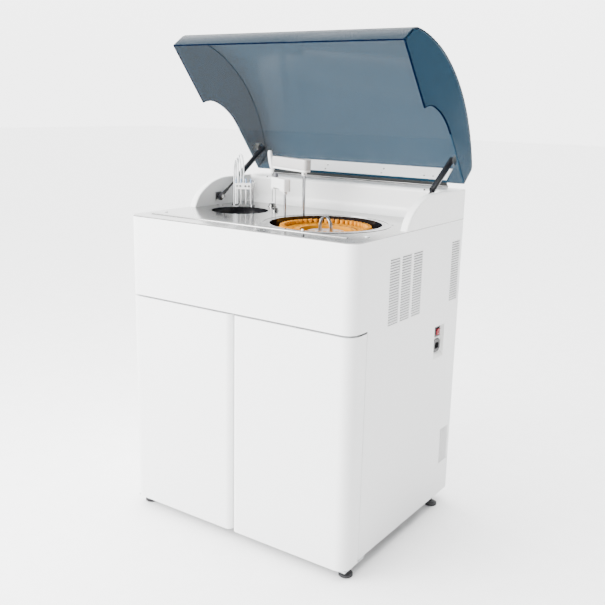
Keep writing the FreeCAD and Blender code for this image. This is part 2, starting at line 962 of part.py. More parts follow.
def mains_inlet():
    body = make_body("mains_inlet")
    face = HALF - S.pocket_depth
    top = face + S.inlet_flange
    floor = top - S.socket_depth
    y_low, y_high = S.inlet_y - S.inlet_length / 2, S.inlet_y + S.inlet_length / 2
    z_low, z_high = S.inlet_z - S.inlet_height / 2, S.inlet_z + S.inlet_height / 2
    slant = S.inlet_chamfer
    add(body, SIDE_VIEW, face, top, [
        (y_low + slant, z_low),
        (y_high - slant, z_low),
        (y_high, z_low + slant),
        (y_high, z_high - slant),
        (y_high - slant, z_high),
        (y_low + slant, z_high),
        (y_low, z_high - slant),
        (y_low, z_low + slant),
    ])
    add(body, SIDE_VIEW, face - S.inlet_body, face, inlet_body_box(0))
    half_y, half_z = S.socket_length / 2, S.socket_height / 2
    cut(body, SIDE_VIEW, floor, top, [
        (S.inlet_y - half_y, S.inlet_z - half_z),
        (S.inlet_y + half_y, S.inlet_z - half_z),
        (S.inlet_y + half_y, S.inlet_z + half_z - S.socket_corner),
        (S.inlet_y + half_y - S.socket_corner, S.inlet_z + half_z),
        (S.inlet_y - half_y + S.socket_corner, S.inlet_z + half_z),
        (S.inlet_y - half_y, S.inlet_z + half_z - S.socket_corner),
    ])
    blades = [centred_box(S.inlet_y + S.contact_pitch * step, S.inlet_z + S.contact_rise * rise,
                          S.contact_wall / 2, S.contact_width / 2)
              for step, rise in ((-1, -1), (0, 1), (1, -1))]
    add(body, SIDE_VIEW, floor, floor + S.contact_length, *blades)
    return stand(body)


def switch_frame():
    body = make_body("switch_frame")
    face = HALF - S.pocket_depth
    half_y, half_z = S.switch_length / 2, S.switch_height / 2
    add(body, SIDE_VIEW, face, face + S.switch_flange,
        centred_box(S.switch_y, S.switch_z, half_y, half_z))
    add(body, SIDE_VIEW, face - S.inlet_body, face, switch_body_box(0))
    half_y, half_z = half_y - S.rocker_inset, half_z - S.switch_rim - S.sheet_wall
    back = face - S.inlet_body + S.sheet_wall
    cut(body, SIDE_VIEW, back, face + S.switch_flange,
        centred_box(S.switch_y, S.switch_z, half_y, half_z))
    pivot = circle(face, S.switch_z, S.rocker_pin)
    add(body, FRONT_VIEW, S.switch_y - half_y, S.switch_y + half_y, pivot)
    return stand(body)


def power_rocker():
    """Tilts about a pin along y, and rests with its lower end pressed in."""
    body = make_body("power_rocker")
    half_y = S.switch_length / 2 - S.rocker_inset - S.seat_gap
    half_z = S.switch_height / 2 - S.switch_rim - S.sheet_wall - S.rocker_gap - S.rocker_gap
    add(body, FRONT_VIEW, -half_y, half_y, [
        (-S.rocker_waist, -half_z / 2),
        (S.rocker_reach, -half_z),
        (S.rocker_waist, 0),
        (S.rocker_reach, half_z),
        (-S.rocker_waist, half_z / 2),
    ], circle(0, 0, S.rocker_pin + S.running_gap))
    return place(body, HALF - S.pocket_depth, S.switch_y, S.switch_z,
                 FreeCAD.Vector(0, 1, 0), S.rocker_tilt)


# Shelf, deck and worktop

def mid_shelf():
    body = make_body("mid_shelf")
    inner = HALF - S.sheet_wall
    side = HALF - S.corner_round
    bend = S.corner_round - S.sheet_wall
    back = S.cabinet_depth - S.panel_wall
    outline = [
        (-inner, back),
        (-inner, S.corner_round),
        (-side, S.sheet_wall, bend, 1),
        (side, S.sheet_wall),
        (inner, S.corner_round, bend, 1),
        (inner, back),
    ]
    half = S.frame_tube / 2 + S.seat_gap
    notches = [centred_box(x, y, half, half) for x, y in post_centres()]
    add(body, PLAN_VIEW, S.upper_low, S.upper_low + S.shelf_wall, outline, *notches)
    pins = [circle(side * S.pivot_x, S.pivot_y, S.pivot_pin) for side in (1, -1)]
    add(body, PLAN_VIEW, S.door_high - S.pivot_length + S.boss_length / 2, S.upper_low, *pins)
    return stand(body)


def polar_place(x, y, reach, angle):
    return (x + reach * cosine(angle), y + reach * sine(angle))


def wash_place(out, aside):
    """A place given from the reaction disc's centre, along and across the wash station's line."""
    angle = S.cuvette_phase + S.wash_turn
    x = S.reaction_x + out * cosine(angle) - aside * sine(angle)
    y = S.reaction_y + out * sine(angle) + aside * cosine(angle)
    return (x, y)


def post_place():
    return wash_place(S.cuvette_ring + S.post_out, S.post_aside)


def grommet_place():
    return wash_place(S.cuvette_ring + S.tube_out, S.tube_aside + S.tube_spread)


def probe_well_place():
    return polar_place(S.probe_x, S.probe_y, S.probe_reach, S.probe_angle)


def stirrer_well_place():
    return polar_place(S.stirrer_x, S.stirrer_y, S.stirrer_reach, S.stirrer_angle)


def well_holes():
    return [circle(*probe_well_place(), S.probe_well + S.seat_gap),
            circle(*stirrer_well_place(), S.stirrer_well + S.seat_gap)]


def deck_plate():
    body = make_body("deck_plate")
    side = HALF - S.frame_inset
    boss = S.drive_boss + S.seat_gap
    add(body, PLAN_VIEW, S.deck_low, S.deck_low + S.deck_wall,
        box(-side, S.deck_front, side, S.deck_back),
        circle(S.reaction_x, S.reaction_y, S.reaction_opening),
        circle(S.reagent_x, S.reagent_y, S.reagent_opening),
        circle(S.probe_x, S.probe_y, boss),
        circle(S.stirrer_x, S.stirrer_y, boss),
        circle(*grommet_place(), S.grommet_radius),
        *well_holes())
    return stand(body)


def worktop():
    body = make_body("worktop")
    side = HALF - S.corner_round
    outline = [
        (-HALF, S.cabinet_depth),
        (-HALF, S.corner_round),
        (-side, 0, S.corner_round, 1),
        (side, 0),
        (HALF, S.corner_round, S.corner_round, 1),
        (HALF, S.cabinet_depth),
    ]
    probe_hole = circle(S.probe_x, S.probe_y, S.probe_column + S.bowl_gap)
    stirrer_hole = circle(S.stirrer_x, S.stirrer_y, S.stirrer_column + S.bowl_gap)
    post_hole = circle(*post_place(), S.post_radius + S.bowl_gap)
    add(body, PLAN_VIEW, S.deck_top - S.worktop_wall, S.deck_top, outline,
        circle(S.reaction_x, S.reaction_y, S.reaction_opening),
        circle(S.reagent_x, S.reagent_y, S.reagent_opening),
        probe_hole, stirrer_hole, post_hole,
        circle(*grommet_place(), S.grommet_bore),
        *well_holes())
    add(body, PLAN_VIEW, S.deck_top, S.deck_top + S.ripple_rise,
        circle(S.reagent_x, S.reagent_y, S.ripple_outer),
        circle(S.reagent_x, S.reagent_y, S.ripple_inner))
    return stand(body)


def lid_seal_rib():
    body = make_body("lid_seal_rib")
    back = S.rib_y + S.rib_width
    outline = rounded_box(S.rib_left, S.rib_y, S.rib_right, back, S.rib_round)
    add(body, PLAN_VIEW, S.deck_top, S.deck_top + S.rib_height, outline)
    return stand(body)


def lid_buffers():
    body = make_body("lid_buffers")
    add(body, PLAN_VIEW, S.deck_top, S.deck_top + S.buffer_height,
        circle(S.buffer_x, S.buffer_y, S.buffer_radius),
        circle(-S.buffer_x, S.buffer_y, S.buffer_radius))
    return stand(body)


# Hood with its two curved wings

def wing_curve(gap):
    """Where the wing's two arcs meet, and where they land, each a gap outside the wing."""
    share = S.wing_change / S.wing_long_radius
    upright_share = root(1 - share * share)
    long_z = S.hood_top - S.wing_long_radius
    step = S.wing_long_radius - S.wing_short_radius
    short_y = S.wing_crown_y - step * share
    short_z = long_z + step * upright_share
    short = S.wing_short_radius + gap
    meet = (short_y - short * share, short_z + short * upright_share)
    return short_y, short_z, short, meet


def landing(short_y, short_z, short, z):
    rise = z - short_z
    return short_y - root(short * short - rise * rise)


def hood_shell():
    body = make_body("hood_shell")
    short_y, short_z, short, meet = wing_curve(as_size(0))
    foot = landing(short_y, short_z, short, S.deck_top)
    wing = [
        (S.cabinet_depth, S.deck_top),
        (S.cabinet_depth, S.hood_top),
        (S.wing_crown_y, S.hood_top),
        (meet[0], meet[1], S.wing_long_radius, 1),
        (foot, S.deck_top, S.wing_short_radius, 1),
    ]
    inner = HALF - S.wing_wall
    add(body, SIDE_VIEW, inner, HALF, wing)
    add(body, SIDE_VIEW, -HALF, -inner, wing)
    soften(body, S.wing_edge, is_wing_crown)
    spread = inner + S.wing_edge
    add(body, SIDE_VIEW, -spread, spread, [
        (S.cabinet_depth, S.deck_top),
        (S.cabinet_depth, S.hood_top),
        (S.hood_wall_y + S.hood_edge, S.hood_top),
        (S.hood_wall_y, S.hood_top - S.hood_edge, S.hood_edge, 1),
        (S.hood_wall_y, S.deck_top + S.cove_radius),
        (S.hood_wall_y - S.cove_radius, S.deck_top, S.cove_radius, -1),
    ])
    return stand(body)


def is_wing_crown(edge):
    """The long level edges on top of the wings; the rounding runs on along their arcs."""
    bounds = edge.BoundBox
    small = S.seat_gap.value
    return bounds.XLength < small and bounds.ZMin > S.hood_top.value - small and bounds.YLength > small


# Lid, drawn shut about its hinge axis

def lid_y(y):
    return y - S.hinge_y


def lid_z(z):
    return z - S.hinge_z


def swing_open(body):
    """The lid stands open at rest, turned back round the long hinge."""
    return place(body, 0, S.hinge_y, S.hinge_z, FreeCAD.Vector(-1, 0, 0), S.lid_open)


def lid_arc(inset):
    """Corners of the domed sheet from the front wall to the rear wall, inset from the outside."""
    radius = S.lid_radius
    front_reach = S.lid_front_y + S.lid_front_round - S.lid_centre_y
    rear_reach = S.lid_rear_y - S.lid_rear_round - S.lid_centre_y
    front_span = radius - S.lid_front_round
    rear_span = radius - S.lid_rear_round
    front_rise = root(front_span * front_span - front_reach * front_reach)
    rear_rise = root(rear_span * rear_span - rear_reach * rear_reach)
    dome = radius - inset
    front_z = S.lid_centre_z + front_rise
    rear_z = S.lid_centre_z + rear_rise
    front_share = dome / front_span
    rear_share = dome / rear_span
    return [
        (lid_y(S.lid_rear_y - inset), lid_z(rear_z)),
        (lid_y(S.lid_centre_y + rear_reach * rear_share), lid_z(S.lid_centre_z + rear_rise * rear_share),
         S.lid_rear_round - inset, 1),
        (lid_y(S.lid_centre_y + front_reach * front_share), lid_z(S.lid_centre_z + front_rise * front_share),
         dome, 1),
        (lid_y(S.lid_front_y + inset), lid_z(front_z), S.lid_front_round - inset, 1),
    ]


def lid_shell():
    body = make_body("lid_shell")
    gap = S.lid_wing_gap
    short_y, short_z, short, meet = wing_curve(gap)
    step_y = landing(short_y, short_z, short, S.lid_low)
    rear_low = lid_z(S.hood_top + gap)
    outline = lid_arc(as_size(0)) + [
        (lid_y(S.lid_front_y), lid_z(S.lid_low)),
        (lid_y(step_y), lid_z(S.lid_low)),
        (lid_y(meet[0]), lid_z(meet[1]), short, -1),
        (lid_y(S.wing_crown_y), rear_low, S.wing_long_radius + gap, -1),
        (lid_y(S.lid_rear_y), rear_low),
    ]
    add(body, SIDE_VIEW, -HALF, HALF, outline)
    soften(body, S.lid_corner, is_dome_edge)
    inner = HALF - S.lid_wall
    below = lid_z(S.lid_low - S.overrun)
    cut(body, SIDE_VIEW, -inner, inner, lid_arc(S.lid_wall) + [
        (lid_y(S.lid_front_y + S.lid_wall), below),
        (lid_y(S.lid_rear_y - S.lid_wall), below),
    ])
    return swing_open(body)


def is_dome_edge(edge):
    """The dome's long edge at either side; the rounding runs on down the front and rear walls."""
    bounds = edge.BoundBox
    return bounds.XLength < S.seat_gap.value and bounds.YLength > S.lid_radius.value


def lid_bracket_strip():
    body = make_body("lid_bracket_strip")
    face = lid_y(S.lid_rear_y - S.lid_wall)
    add(body, SIDE_VIEW, -S.strip_half, S.strip_half,
        box(face - S.strip_wall, lid_z(S.strip_low), face, lid_z(S.strip_high)))
    return swing_open(body)


def lid_strut_plates():
    """Brackets on the cheeks that reach in to the heads of the gas struts."""
    body = make_body("lid_strut_plates")
    cheek = HALF - S.lid_wall
    y, z = lid_y(S.strut_head_y), lid_z(S.strut_head_z)
    half, wall = S.plate_half, S.bracket_wall
    inner = S.strut_x + S.strut_radius + S.seat_gap + wall
    face = box(y - half, z - half, y + half, z + half)
    bridge = box(y - half, z + half - wall, y + half, z + half)
    for side in (1, -1):
        for near, far, outline in ((inner - wall, inner, face), (inner, cheek - wall, bridge),
                                   (cheek - wall, cheek, face)):
            low, high = (near, far) if side > 0 else (-far, -near)
            add(body, SIDE_VIEW, low, high, outline)
    return swing_open(body)


# Long hinge

def knuckle_spans(first):
    """Every second length of the hinge, as pairs of x."""
    pitch = S.hinge_half * 2 / S.knuckles
    gap = S.knuckle_gap / 2
    spans = []
    for index in range(first, int(S.knuckles.value), 2):
        low = pitch * index - S.hinge_half
        spans.append((low + gap, low + pitch - gap))
    return spans


def hinge_leaf_hood():
    body = make_body("hinge_leaf_hood")
    leaf_back = S.cabinet_depth + S.leaf_wall
    high = S.hinge_z - S.leaf_clear
    add(body, SIDE_VIEW, -S.hinge_half, S.hinge_half,
        box(S.cabinet_depth, high - S.leaf_height, leaf_back, high))
    for low_x, high_x in knuckle_spans(0):
        add(body, SIDE_VIEW, low_x, high_x, box(S.cabinet_depth, high, leaf_back, S.hinge_z))
        add(body, SIDE_VIEW, low_x, high_x, circle(S.hinge_y, S.hinge_z, S.knuckle_radius))
    add(body, SIDE_VIEW, -S.hinge_half, S.hinge_half, circle(S.hinge_y, S.hinge_z, S.hinge_pin))
    return stand(body)


def hinge_leaf_lid():
    body = make_body("hinge_leaf_lid")
    low = -S.lid_leaf_drop
    high = low + S.leaf_wall
    wall = lid_y(S.lid_rear_y)
    add(body, SIDE_VIEW, -S.hinge_half, S.hinge_half, [
        (wall, low),
        (-S.leaf_clear, low),
        (-S.leaf_clear, high),
        (wall + S.leaf_wall, high),
        (wall + S.leaf_wall, S.lid_leaf_rise),
        (wall, S.lid_leaf_rise),
    ])
    bore = circle(0, 0, S.hinge_pin + S.running_gap)
    reach = S.knuckle_radius - S.leaf_wall / 2
    for low_x, high_x in knuckle_spans(1):
        add(body, SIDE_VIEW, low_x, high_x, box(-S.leaf_clear, low, -reach, high))
        add(body, SIDE_VIEW, low_x, high_x, circle(0, 0, S.knuckle_radius), bore)
    return swing_open(body)


# Gas struts

def strut_line():
    """Length and slope of a strut while the lid stands open."""
    head_y, head_z = lid_y(S.strut_head_y), lid_z(S.strut_head_z)
    turned_y = head_y * cosine(S.lid_open) + head_z * sine(S.lid_open)
    turned_z = head_z * cosine(S.lid_open) - head_y * sine(S.lid_open)
    run = S.hinge_y + turned_y - S.strut_foot_y
    rise = S.hinge_z + turned_z - S.strut_foot_z
    length = root(run * run + rise * rise)
    slope = Size(math.degrees(math.atan2(rise.value, run.value)), f"atan2({rise.formula}; {run.formula})")
    return length, slope


def strut_brackets():
    """Plates on the wings' inner faces, with the studs that carry the struts' feet."""
    body = make_body("strut_brackets")
    face = HALF - S.wing_wall
    inner = S.strut_x - S.eye_half - S.seat_gap
    y, z, half = S.strut_foot_y, S.strut_foot_z, S.bracket_half
    plate = centred_box(y, z, half, half)
    stud, head = circle(y, z, S.stud_radius), circle(y, z, S.stud_head)
    for near, far, outline in ((face - S.bracket_wall, face, plate),
                               (inner, face - S.bracket_wall, stud),
                               (inner - S.stud_head_wall, inner, head)):
        add(body, SIDE_VIEW, near, far, outline)
        add(body, SIDE_VIEW, -far, -near, outline)
    return stand(body)


def place_strut(body):
    slope = strut_line()[1]
    return place(body, 0, S.strut_foot_y, S.strut_foot_z, FreeCAD.Vector(1, 0, 0), slope)


def strut_rod(name, side):
    body = make_body(name)
    x = side * S.strut_x
    eye_low, eye_high = x - S.eye_half, x + S.eye_half
    add(body, SIDE_VIEW, eye_low, eye_high, circle(0, 0, S.eye_radius))
    add(body, FRONT_VIEW, S.fitting_low, S.fitting_length, circle(x, 0, S.fitting_radius))
    add(body, FRONT_VIEW, S.fitting_length, S.rod_reach, circle(x, 0, S.rod_radius))
    cut(body, SIDE_VIEW, eye_low - S.overrun, eye_high + S.overrun,
        circle(0, 0, S.stud_radius + S.running_gap))
    return place_strut(body)


def strut_cylinder(name, side):
    body = make_body(name)
    x = side * S.strut_x
    length = strut_line()[0]
    low = length - S.strut_tube
    high = length - S.eye_radius / 2
    add(body, FRONT_VIEW, low, high, circle(x, 0, S.strut_radius))
    cut(body, FRONT_VIEW, low - S.overrun, length - S.strut_bore_end,
        circle(x, 0, S.rod_radius + S.running_gap))
    add(body, SIDE_VIEW, x - S.eye_half, x + S.eye_half, circle(length, 0, S.eye_radius))
    inner, outer = S.strut_x, S.strut_x + S.strut_radius
    low_x, high_x = (inner, outer) if side > 0 else (-outer, -inner)
    add(body, SIDE_VIEW, low_x, high_x, circle(length, 0, S.stud_radius))
    return place_strut(body)


# Doors

def door_shell(name, side):
    body = make_body(name)
    split, wall, edge = S.door_split, S.sheet_wall, S.door_edge_round
    corner, back = S.corner_round, S.door_return
    sheet_outline = [
        (split, back),
        (split, edge),
        (split + edge, 0, edge, 1),
        (HALF - corner, 0),
        (HALF, corner, corner, 1),
        (HALF, S.door_wrap),
        (HALF - wall, S.door_wrap),
        (HALF - wall, corner),
        (HALF - corner, wall, corner - wall, -1),
        (split + edge, wall),
        (split + wall, edge, edge - wall, -1),
        (split + wall, back),
    ]
    flange = [
        (split + wall, back),
        (split + wall, edge),
        (split + edge, wall, edge - wall, 1),
        (HALF - corner, wall),
        (HALF - wall, corner, corner - wall, 1),
        (HALF - wall, back),
    ]
    add(body, PLAN_VIEW, S.door_low, S.door_high, on_side(sheet_outline, side))
    for low in (S.door_low, S.door_high - wall):
        add(body, PLAN_VIEW, low, low + wall, on_side(flange, side))
    boss = circle(side * S.pivot_x, S.pivot_y, S.pivot_boss)
    bore = circle(side * S.pivot_x, S.pivot_y, S.pivot_pin + S.running_gap)
    add(body, PLAN_VIEW, S.door_low + wall, S.door_low + S.boss_length, boss)
    add(body, PLAN_VIEW, S.door_high - S.boss_length, S.door_high - wall, boss)
    cut(body, PLAN_VIEW, S.door_low - S.overrun, S.door_low + S.boss_length + S.overrun, bore)
    cut(body, PLAN_VIEW, S.door_high - S.boss_length - S.overrun, S.door_high + S.overrun, bore)
    return stand(body)


def door_liner(name, side):
    """The inner pan that closes the back of a door, with a pressed field."""
    body = make_body(name)
    near, far = S.door_split, HALF - S.sheet_wall - S.seat_gap
    front = S.door_return
    back = front + S.liner_wall
    margin = S.liner_margin
    plate = box(near, S.door_low, far, S.door_high)
    field = rounded_box(near + margin, S.door_low + margin, far - margin, S.door_high - margin,
                        S.door_edge_round)
    add(body, FRONT_VIEW, front, back, on_side(plate, side))
    add(body, FRONT_VIEW, back, back + S.liner_bulge, on_side(field, side))
    return stand(body)


# Discs with their bowls and motors

def bowl(name, x, y, opening, wall, low):
    body = make_body(name)
    outer = opening - S.bowl_gap
    inner = outer - wall
    flange_low = S.deck_low - S.bowl_flange_wall
    turn(body, [
        (S.bowl_drain, low),
        (outer, low),
        (outer, flange_low),
        (outer + S.bowl_flange, flange_low),
        (outer + S.bowl_flange, S.deck_low),
        (outer, S.deck_low),
        (outer, S.deck_top),
        (inner, S.deck_top),
        (inner, low + S.bowl_floor),
        (S.bowl_drain, low + S.bowl_floor),
    ])
    return place(body, x, y, 0)


def disc_motors():
    body = make_body("disc_motors")
    for x, y, high in ((S.reaction_x, S.reaction_y, S.reaction_bowl_low),
                       (S.reagent_x, S.reagent_y, S.reagent_bowl_low)):
        half = S.motor_half
        case = rounded_box(x - half, y - half, x + half, y + half, S.motor_corner)
        add(body, PLAN_VIEW, high - S.motor_height, high, case)
        add(body, PLAN_VIEW, high, S.shaft_high, circle(x, y, S.shaft_radius))
    return stand(body)


def reaction_disc():
    body = make_body("reaction_disc")
    bore = S.shaft_radius + S.running_gap
    low = S.reaction_bowl_low + S.bowl_floor + S.seat_gap
    rim = S.cuvette_outer + S.seat_gap
    turn(body, [
        (bore, low),
        (S.disc_hub, low),
        (S.disc_hub, S.disc_web_low),
        (S.disc_radius, S.disc_web_low),
        (S.disc_radius, S.disc_rim),
        (rim, S.disc_rim),
        (rim, S.disc_web_high),
        (S.disc_drum, S.disc_web_high),
        (S.disc_drum, S.disc_top - S.disc_slope),
        (S.disc_drum - S.disc_slope_width, S.disc_top),
        (0, S.disc_top),
        (0, S.shaft_high + S.bore_roof),
        (bore, S.shaft_high + S.bore_roof),
    ])
    return place(body, S.reaction_x, S.reaction_y, 0)


def cuvettes():
    body = make_body("cuvettes")
    turn(body, box(S.cuvette_inner, S.disc_web_high, S.cuvette_outer, S.cuvette_top))
    half = S.cuvette_length / 2
    well = box(S.cuvette_ring - half, -S.cuvette_width / 2, S.cuvette_ring + half, S.cuvette_width / 2)
    first = cut(body, PLAN_VIEW, S.cuvette_top - S.cuvette_depth, S.cuvette_top, well)
    repeat_round(body, first, S.cuvettes)
    return place(body, S.reaction_x, S.reaction_y, 0, FreeCAD.Vector(0, 0, 1), S.cuvette_phase)


def reagent_rotor():
    body = make_body("reagent_rotor")
    bore = S.shaft_radius + S.running_gap
    low = S.reagent_bowl_low + S.bowl_floor + S.seat_gap
    turn(body, [
        (bore, low),
        (S.rotor_hub, low),
        (S.rotor_hub, S.rotor_web_low),
        (S.rotor_radius, S.rotor_web_low),
        (S.rotor_radius, S.rotor_web_high),
        (S.rotor_drum, S.rotor_web_high),
        (S.rotor_drum, S.rotor_top - S.rotor_edge),
        (S.rotor_drum - S.rotor_edge, S.rotor_top, S.rotor_edge, 1),
        (0, S.rotor_top),
        (0, S.shaft_high + S.bore_roof),
        (bore, S.shaft_high + S.bore_roof),
    ])
    return place(body, S.reagent_x, S.reagent_y, 0)


def reagent_rack():
    """A ring with wedge-shaped places outside and round ones inside."""
    body = make_body("reagent_rack")
    turn(body, box(S.rack_inner, S.rotor_web_high, S.rack_outer, S.rack_top))
    low, high = S.outer_bore_low, S.outer_bore_high
    narrow = low * math.pi / S.outer_bores - S.bore_web / 2
    wide = high * math.pi / S.outer_bores - S.bore_web / 2
    floor = S.rack_top - S.bore_depth
    wedge = cut(body, PLAN_VIEW, floor, S.rack_top, [(low, -narrow), (high, -wide), (high, wide), (low, narrow)])
    repeat_round(body, wedge, S.outer_bores)
    bore = cut(body, PLAN_VIEW, floor, S.rack_top, circle(S.inner_ring, 0, S.inner_bore))
    repeat_round(body, bore, S.inner_bores)
    return place(body, S.reagent_x, S.reagent_y, 0, FreeCAD.Vector(0, 0, 1), S.rack_phase)


def rack_handle():
    body = make_body("rack_handle")
    outer, band, low = S.handle_half, S.handle_band, S.rotor_top
    high = low + S.handle_height
    inner, bend = outer - band, S.handle_round
    small = bend - band
    add(body, FRONT_VIEW, -S.handle_width / 2, S.handle_width / 2, [
        (outer, low),
        (outer, high - bend),
        (outer - bend, high, bend, 1),
        (bend - outer, high),
        (-outer, high - bend, bend, 1),
        (-outer, low),
        (-inner, low),
        (-inner, high - bend),
        (small - inner, high - band, small, -1),
        (inner - small, high - band),
        (inner, high - bend, small, -1),
        (inner, low),
    ])
    return place(body, S.reagent_x, S.reagent_y, 0)


# Sample probe and stirrer

def arm_lift_drives():
    body = make_body("arm_lift_drives")
    for x, y, radius in ((S.probe_x, S.probe_y, S.probe_column),
                         (S.stirrer_x, S.stirrer_y, S.stirrer_column)):
        bore = circle(x, y, radius + S.running_gap)
        half = S.drive_half
        case = rounded_box(x - half, y - half, x + half, y + half, S.motor_corner)
        add(body, PLAN_VIEW, S.drive_low, S.deck_low, case, bore)
        top = S.deck_low + S.deck_wall + S.drive_boss_rise
        add(body, PLAN_VIEW, S.deck_low, top, circle(x, y, S.drive_boss), bore)
    return stand(body)


def arm_column(name, x, y, radius, low, arm_low, socket):
    body = make_body(name)
    top = arm_low + socket - S.seat_gap
    turn(body, [(0, low), (radius, low), (radius, top), (0, top)])
    return place(body, x, y, 0)


def probe_arm():
    """Drawn along x from its column, with the tall nose over the needle."""
    body = make_body("probe_arm")
    half, reach = S.probe_arm_half, S.probe_reach
    low, high = S.probe_arm_low, S.probe_arm_high
    nose = S.probe_nose
    side_outline = [
        (-S.probe_tail, low),
        (reach - S.probe_nose_half, low),
        (reach - S.needle_sleeve, S.probe_nose_low),
        (reach + S.needle_sleeve, S.probe_nose_low),
        (reach + nose, high),
        (reach + nose, S.probe_nose_high - S.probe_crown),
        (reach + nose - S.probe_crown, S.probe_nose_high, S.probe_crown, 1),
        (reach - S.probe_nose_half / 2, high),
        (-S.probe_tail, high),
    ]
    add(body, FRONT_VIEW, -half, half, side_outline)
    bore = circle(0, 0, S.probe_column + S.running_gap)
    cut(body, PLAN_VIEW, low - S.overrun, low + S.arm_socket, bore)
    narrow = S.probe_nose_half
    for side in (1, -1):
        slice_off = [
            (S.probe_tail, half),
            (reach + nose + S.overrun, narrow),
            (reach + nose + S.overrun, half + S.overrun),
            (S.probe_tail, half + S.overrun),
        ]
        edges = [(x, side * as_size(y)) for x, y in slice_off]
        cut(body, PLAN_VIEW, S.probe_nose_low - S.overrun, S.probe_nose_high + S.overrun, edges)
    soften(body, S.probe_tail_round, is_tail_edge)
    return place(body, S.probe_x, S.probe_y, 0, FreeCAD.Vector(0, 0, 1), S.probe_angle)


def is_tail_edge(edge):
    """The upright edges behind the column."""
    bounds = edge.BoundBox
    small = S.seat_gap.value
    return bounds.XLength < small and bounds.YLength < small and bounds.XMax < small - S.probe_column.value * 2


def probe_needle():
    body = make_body("probe_needle")
    sleeve_low = S.probe_nose_low - S.needle_sleeve_length
    add(body, PLAN_VIEW, sleeve_low, S.probe_nose_low, circle(S.probe_reach, 0, S.needle_sleeve))
    add(body, PLAN_VIEW, S.needle_tip, sleeve_low, circle(S.probe_reach, 0, S.needle_radius))
    return place(body, S.probe_x, S.probe_y, 0, FreeCAD.Vector(0, 0, 1), S.probe_angle)


def stirrer_arm():
    body = make_body("stirrer_arm")
    half, low, high = S.stirrer_half, S.stirrer_low, S.stirrer_high
    end = S.stirrer_reach + S.stirrer_nose
    add(body, PLAN_VIEW, low, high, rounded_box(-S.stirrer_tail, -half, end, half, half / 2))
    cut(body, FRONT_VIEW, -half - S.overrun, half + S.overrun, [
        (S.stirrer_tail, low - S.overrun),
        (S.stirrer_reach - S.stirrer_nose, low - S.overrun),
        (S.stirrer_reach - S.stirrer_nose, low + half / 2),
        (S.stirrer_tail, low + half / 2),
    ])
    cut(body, PLAN_VIEW, low - S.overrun, low + S.stirrer_socket,
        circle(0, 0, S.stirrer_column + S.running_gap))
    cut(body, PLAN_VIEW, low - S.overrun, S.paddle_top + S.seat_gap,
        circle(S.stirrer_reach, 0, S.paddle_shaft + S.running_gap))
    return place(body, S.stirrer_x, S.stirrer_y, 0, FreeCAD.Vector(0, 0, 1), S.stirrer_angle)


def stirrer_paddle():
    body = make_body("stirrer_paddle")
    tip, x = S.paddle_tip, S.stirrer_reach
    add(body, PLAN_VIEW, tip + S.paddle_height, S.paddle_top, circle(x, 0, S.paddle_shaft))
    add(body, PLAN_VIEW, tip, tip + S.paddle_height,
        centred_box(x, as_size(0), S.paddle_half, S.paddle_wall / 2))
    return place(body, S.stirrer_x, S.stirrer_y, 0, FreeCAD.Vector(0, 0, 1), S.stirrer_angle)


# Wash station

def place_wash(part):
    """The station's own x runs outward from the reaction disc's axis."""
    return place(part, S.reaction_x, S.reaction_y, 0, FreeCAD.Vector(0, 0, 1),
                 S.cuvette_phase + S.wash_turn)


def wash_station_post():
    """The post that guides the carriage, and the grommet that the tubes fall through."""
    body = make_body("wash_station_post")
    x, y = S.cuvette_ring + S.post_out, S.post_aside
    add(body, PLAN_VIEW, S.deck_low + S.deck_wall, S.post_top, circle(x, y, S.post_radius))
    add(body, PLAN_VIEW, S.deck_top, S.deck_top + S.post_collar_height, circle(x, y, S.post_collar))
    x, y = S.cuvette_ring + S.tube_out, S.tube_aside + S.tube_spread
    add(body, PLAN_VIEW, S.deck_top, S.deck_top + S.grommet_rise,
        circle(x, y, S.grommet_radius), circle(x, y, S.grommet_bore))
    return place_wash(body)


def wash_wells():
    body = make_body("wash_wells")
    for (x, y), radius in ((probe_well_place(), S.probe_well), (stirrer_well_place(), S.stirrer_well)):
        inner = circle(x, y, radius - S.well_wall)
        add(body, PLAN_VIEW, S.well_low, S.well_low + S.well_wall, circle(x, y, radius))
        add(body, PLAN_VIEW, S.well_low + S.well_wall, S.well_top, circle(x, y, radius), inner)
        add(body, PLAN_VIEW, S.deck_top, S.deck_top + S.well_flange_wall,
            circle(x, y, radius + S.well_flange), inner)
    return stand(body)


def wash_carriage():
    body = make_body("wash_carriage")
    ring, half, width = S.cuvette_ring, S.carriage_half, S.carriage_width / 2
    low, high = S.carriage_low, S.carriage_high
    add(body, PLAN_VIEW, low, high, rounded_box(ring - width, -half, ring + width, half, S.nozzle_sleeve))
    out, aside = ring + S.post_out, S.post_aside
    arm = S.carriage_arm / 2
    middle = (low + high) / 2
    add(body, PLAN_VIEW, middle, high, box(ring, aside - arm, out, aside + arm))
    add(body, PLAN_VIEW, low, high, circle(out, aside, S.carriage_hub))
    cut(body, PLAN_VIEW, low - S.overrun, high + S.overrun,
        circle(out, aside, S.post_radius + S.running_gap))
    for share in NOZZLE_SHARES:
        angle = S.nozzle_step * share
        x, y = ring * cosine(angle), ring * sine(angle)
        add(body, PLAN_VIEW, low - S.nozzle_sleeve_drop, low, circle(x, y, S.nozzle_sleeve))
        add(body, PLAN_VIEW, S.nozzle_tip, low - S.nozzle_sleeve_drop, circle(x, y, S.nozzle_radius))
    return place_wash(body)


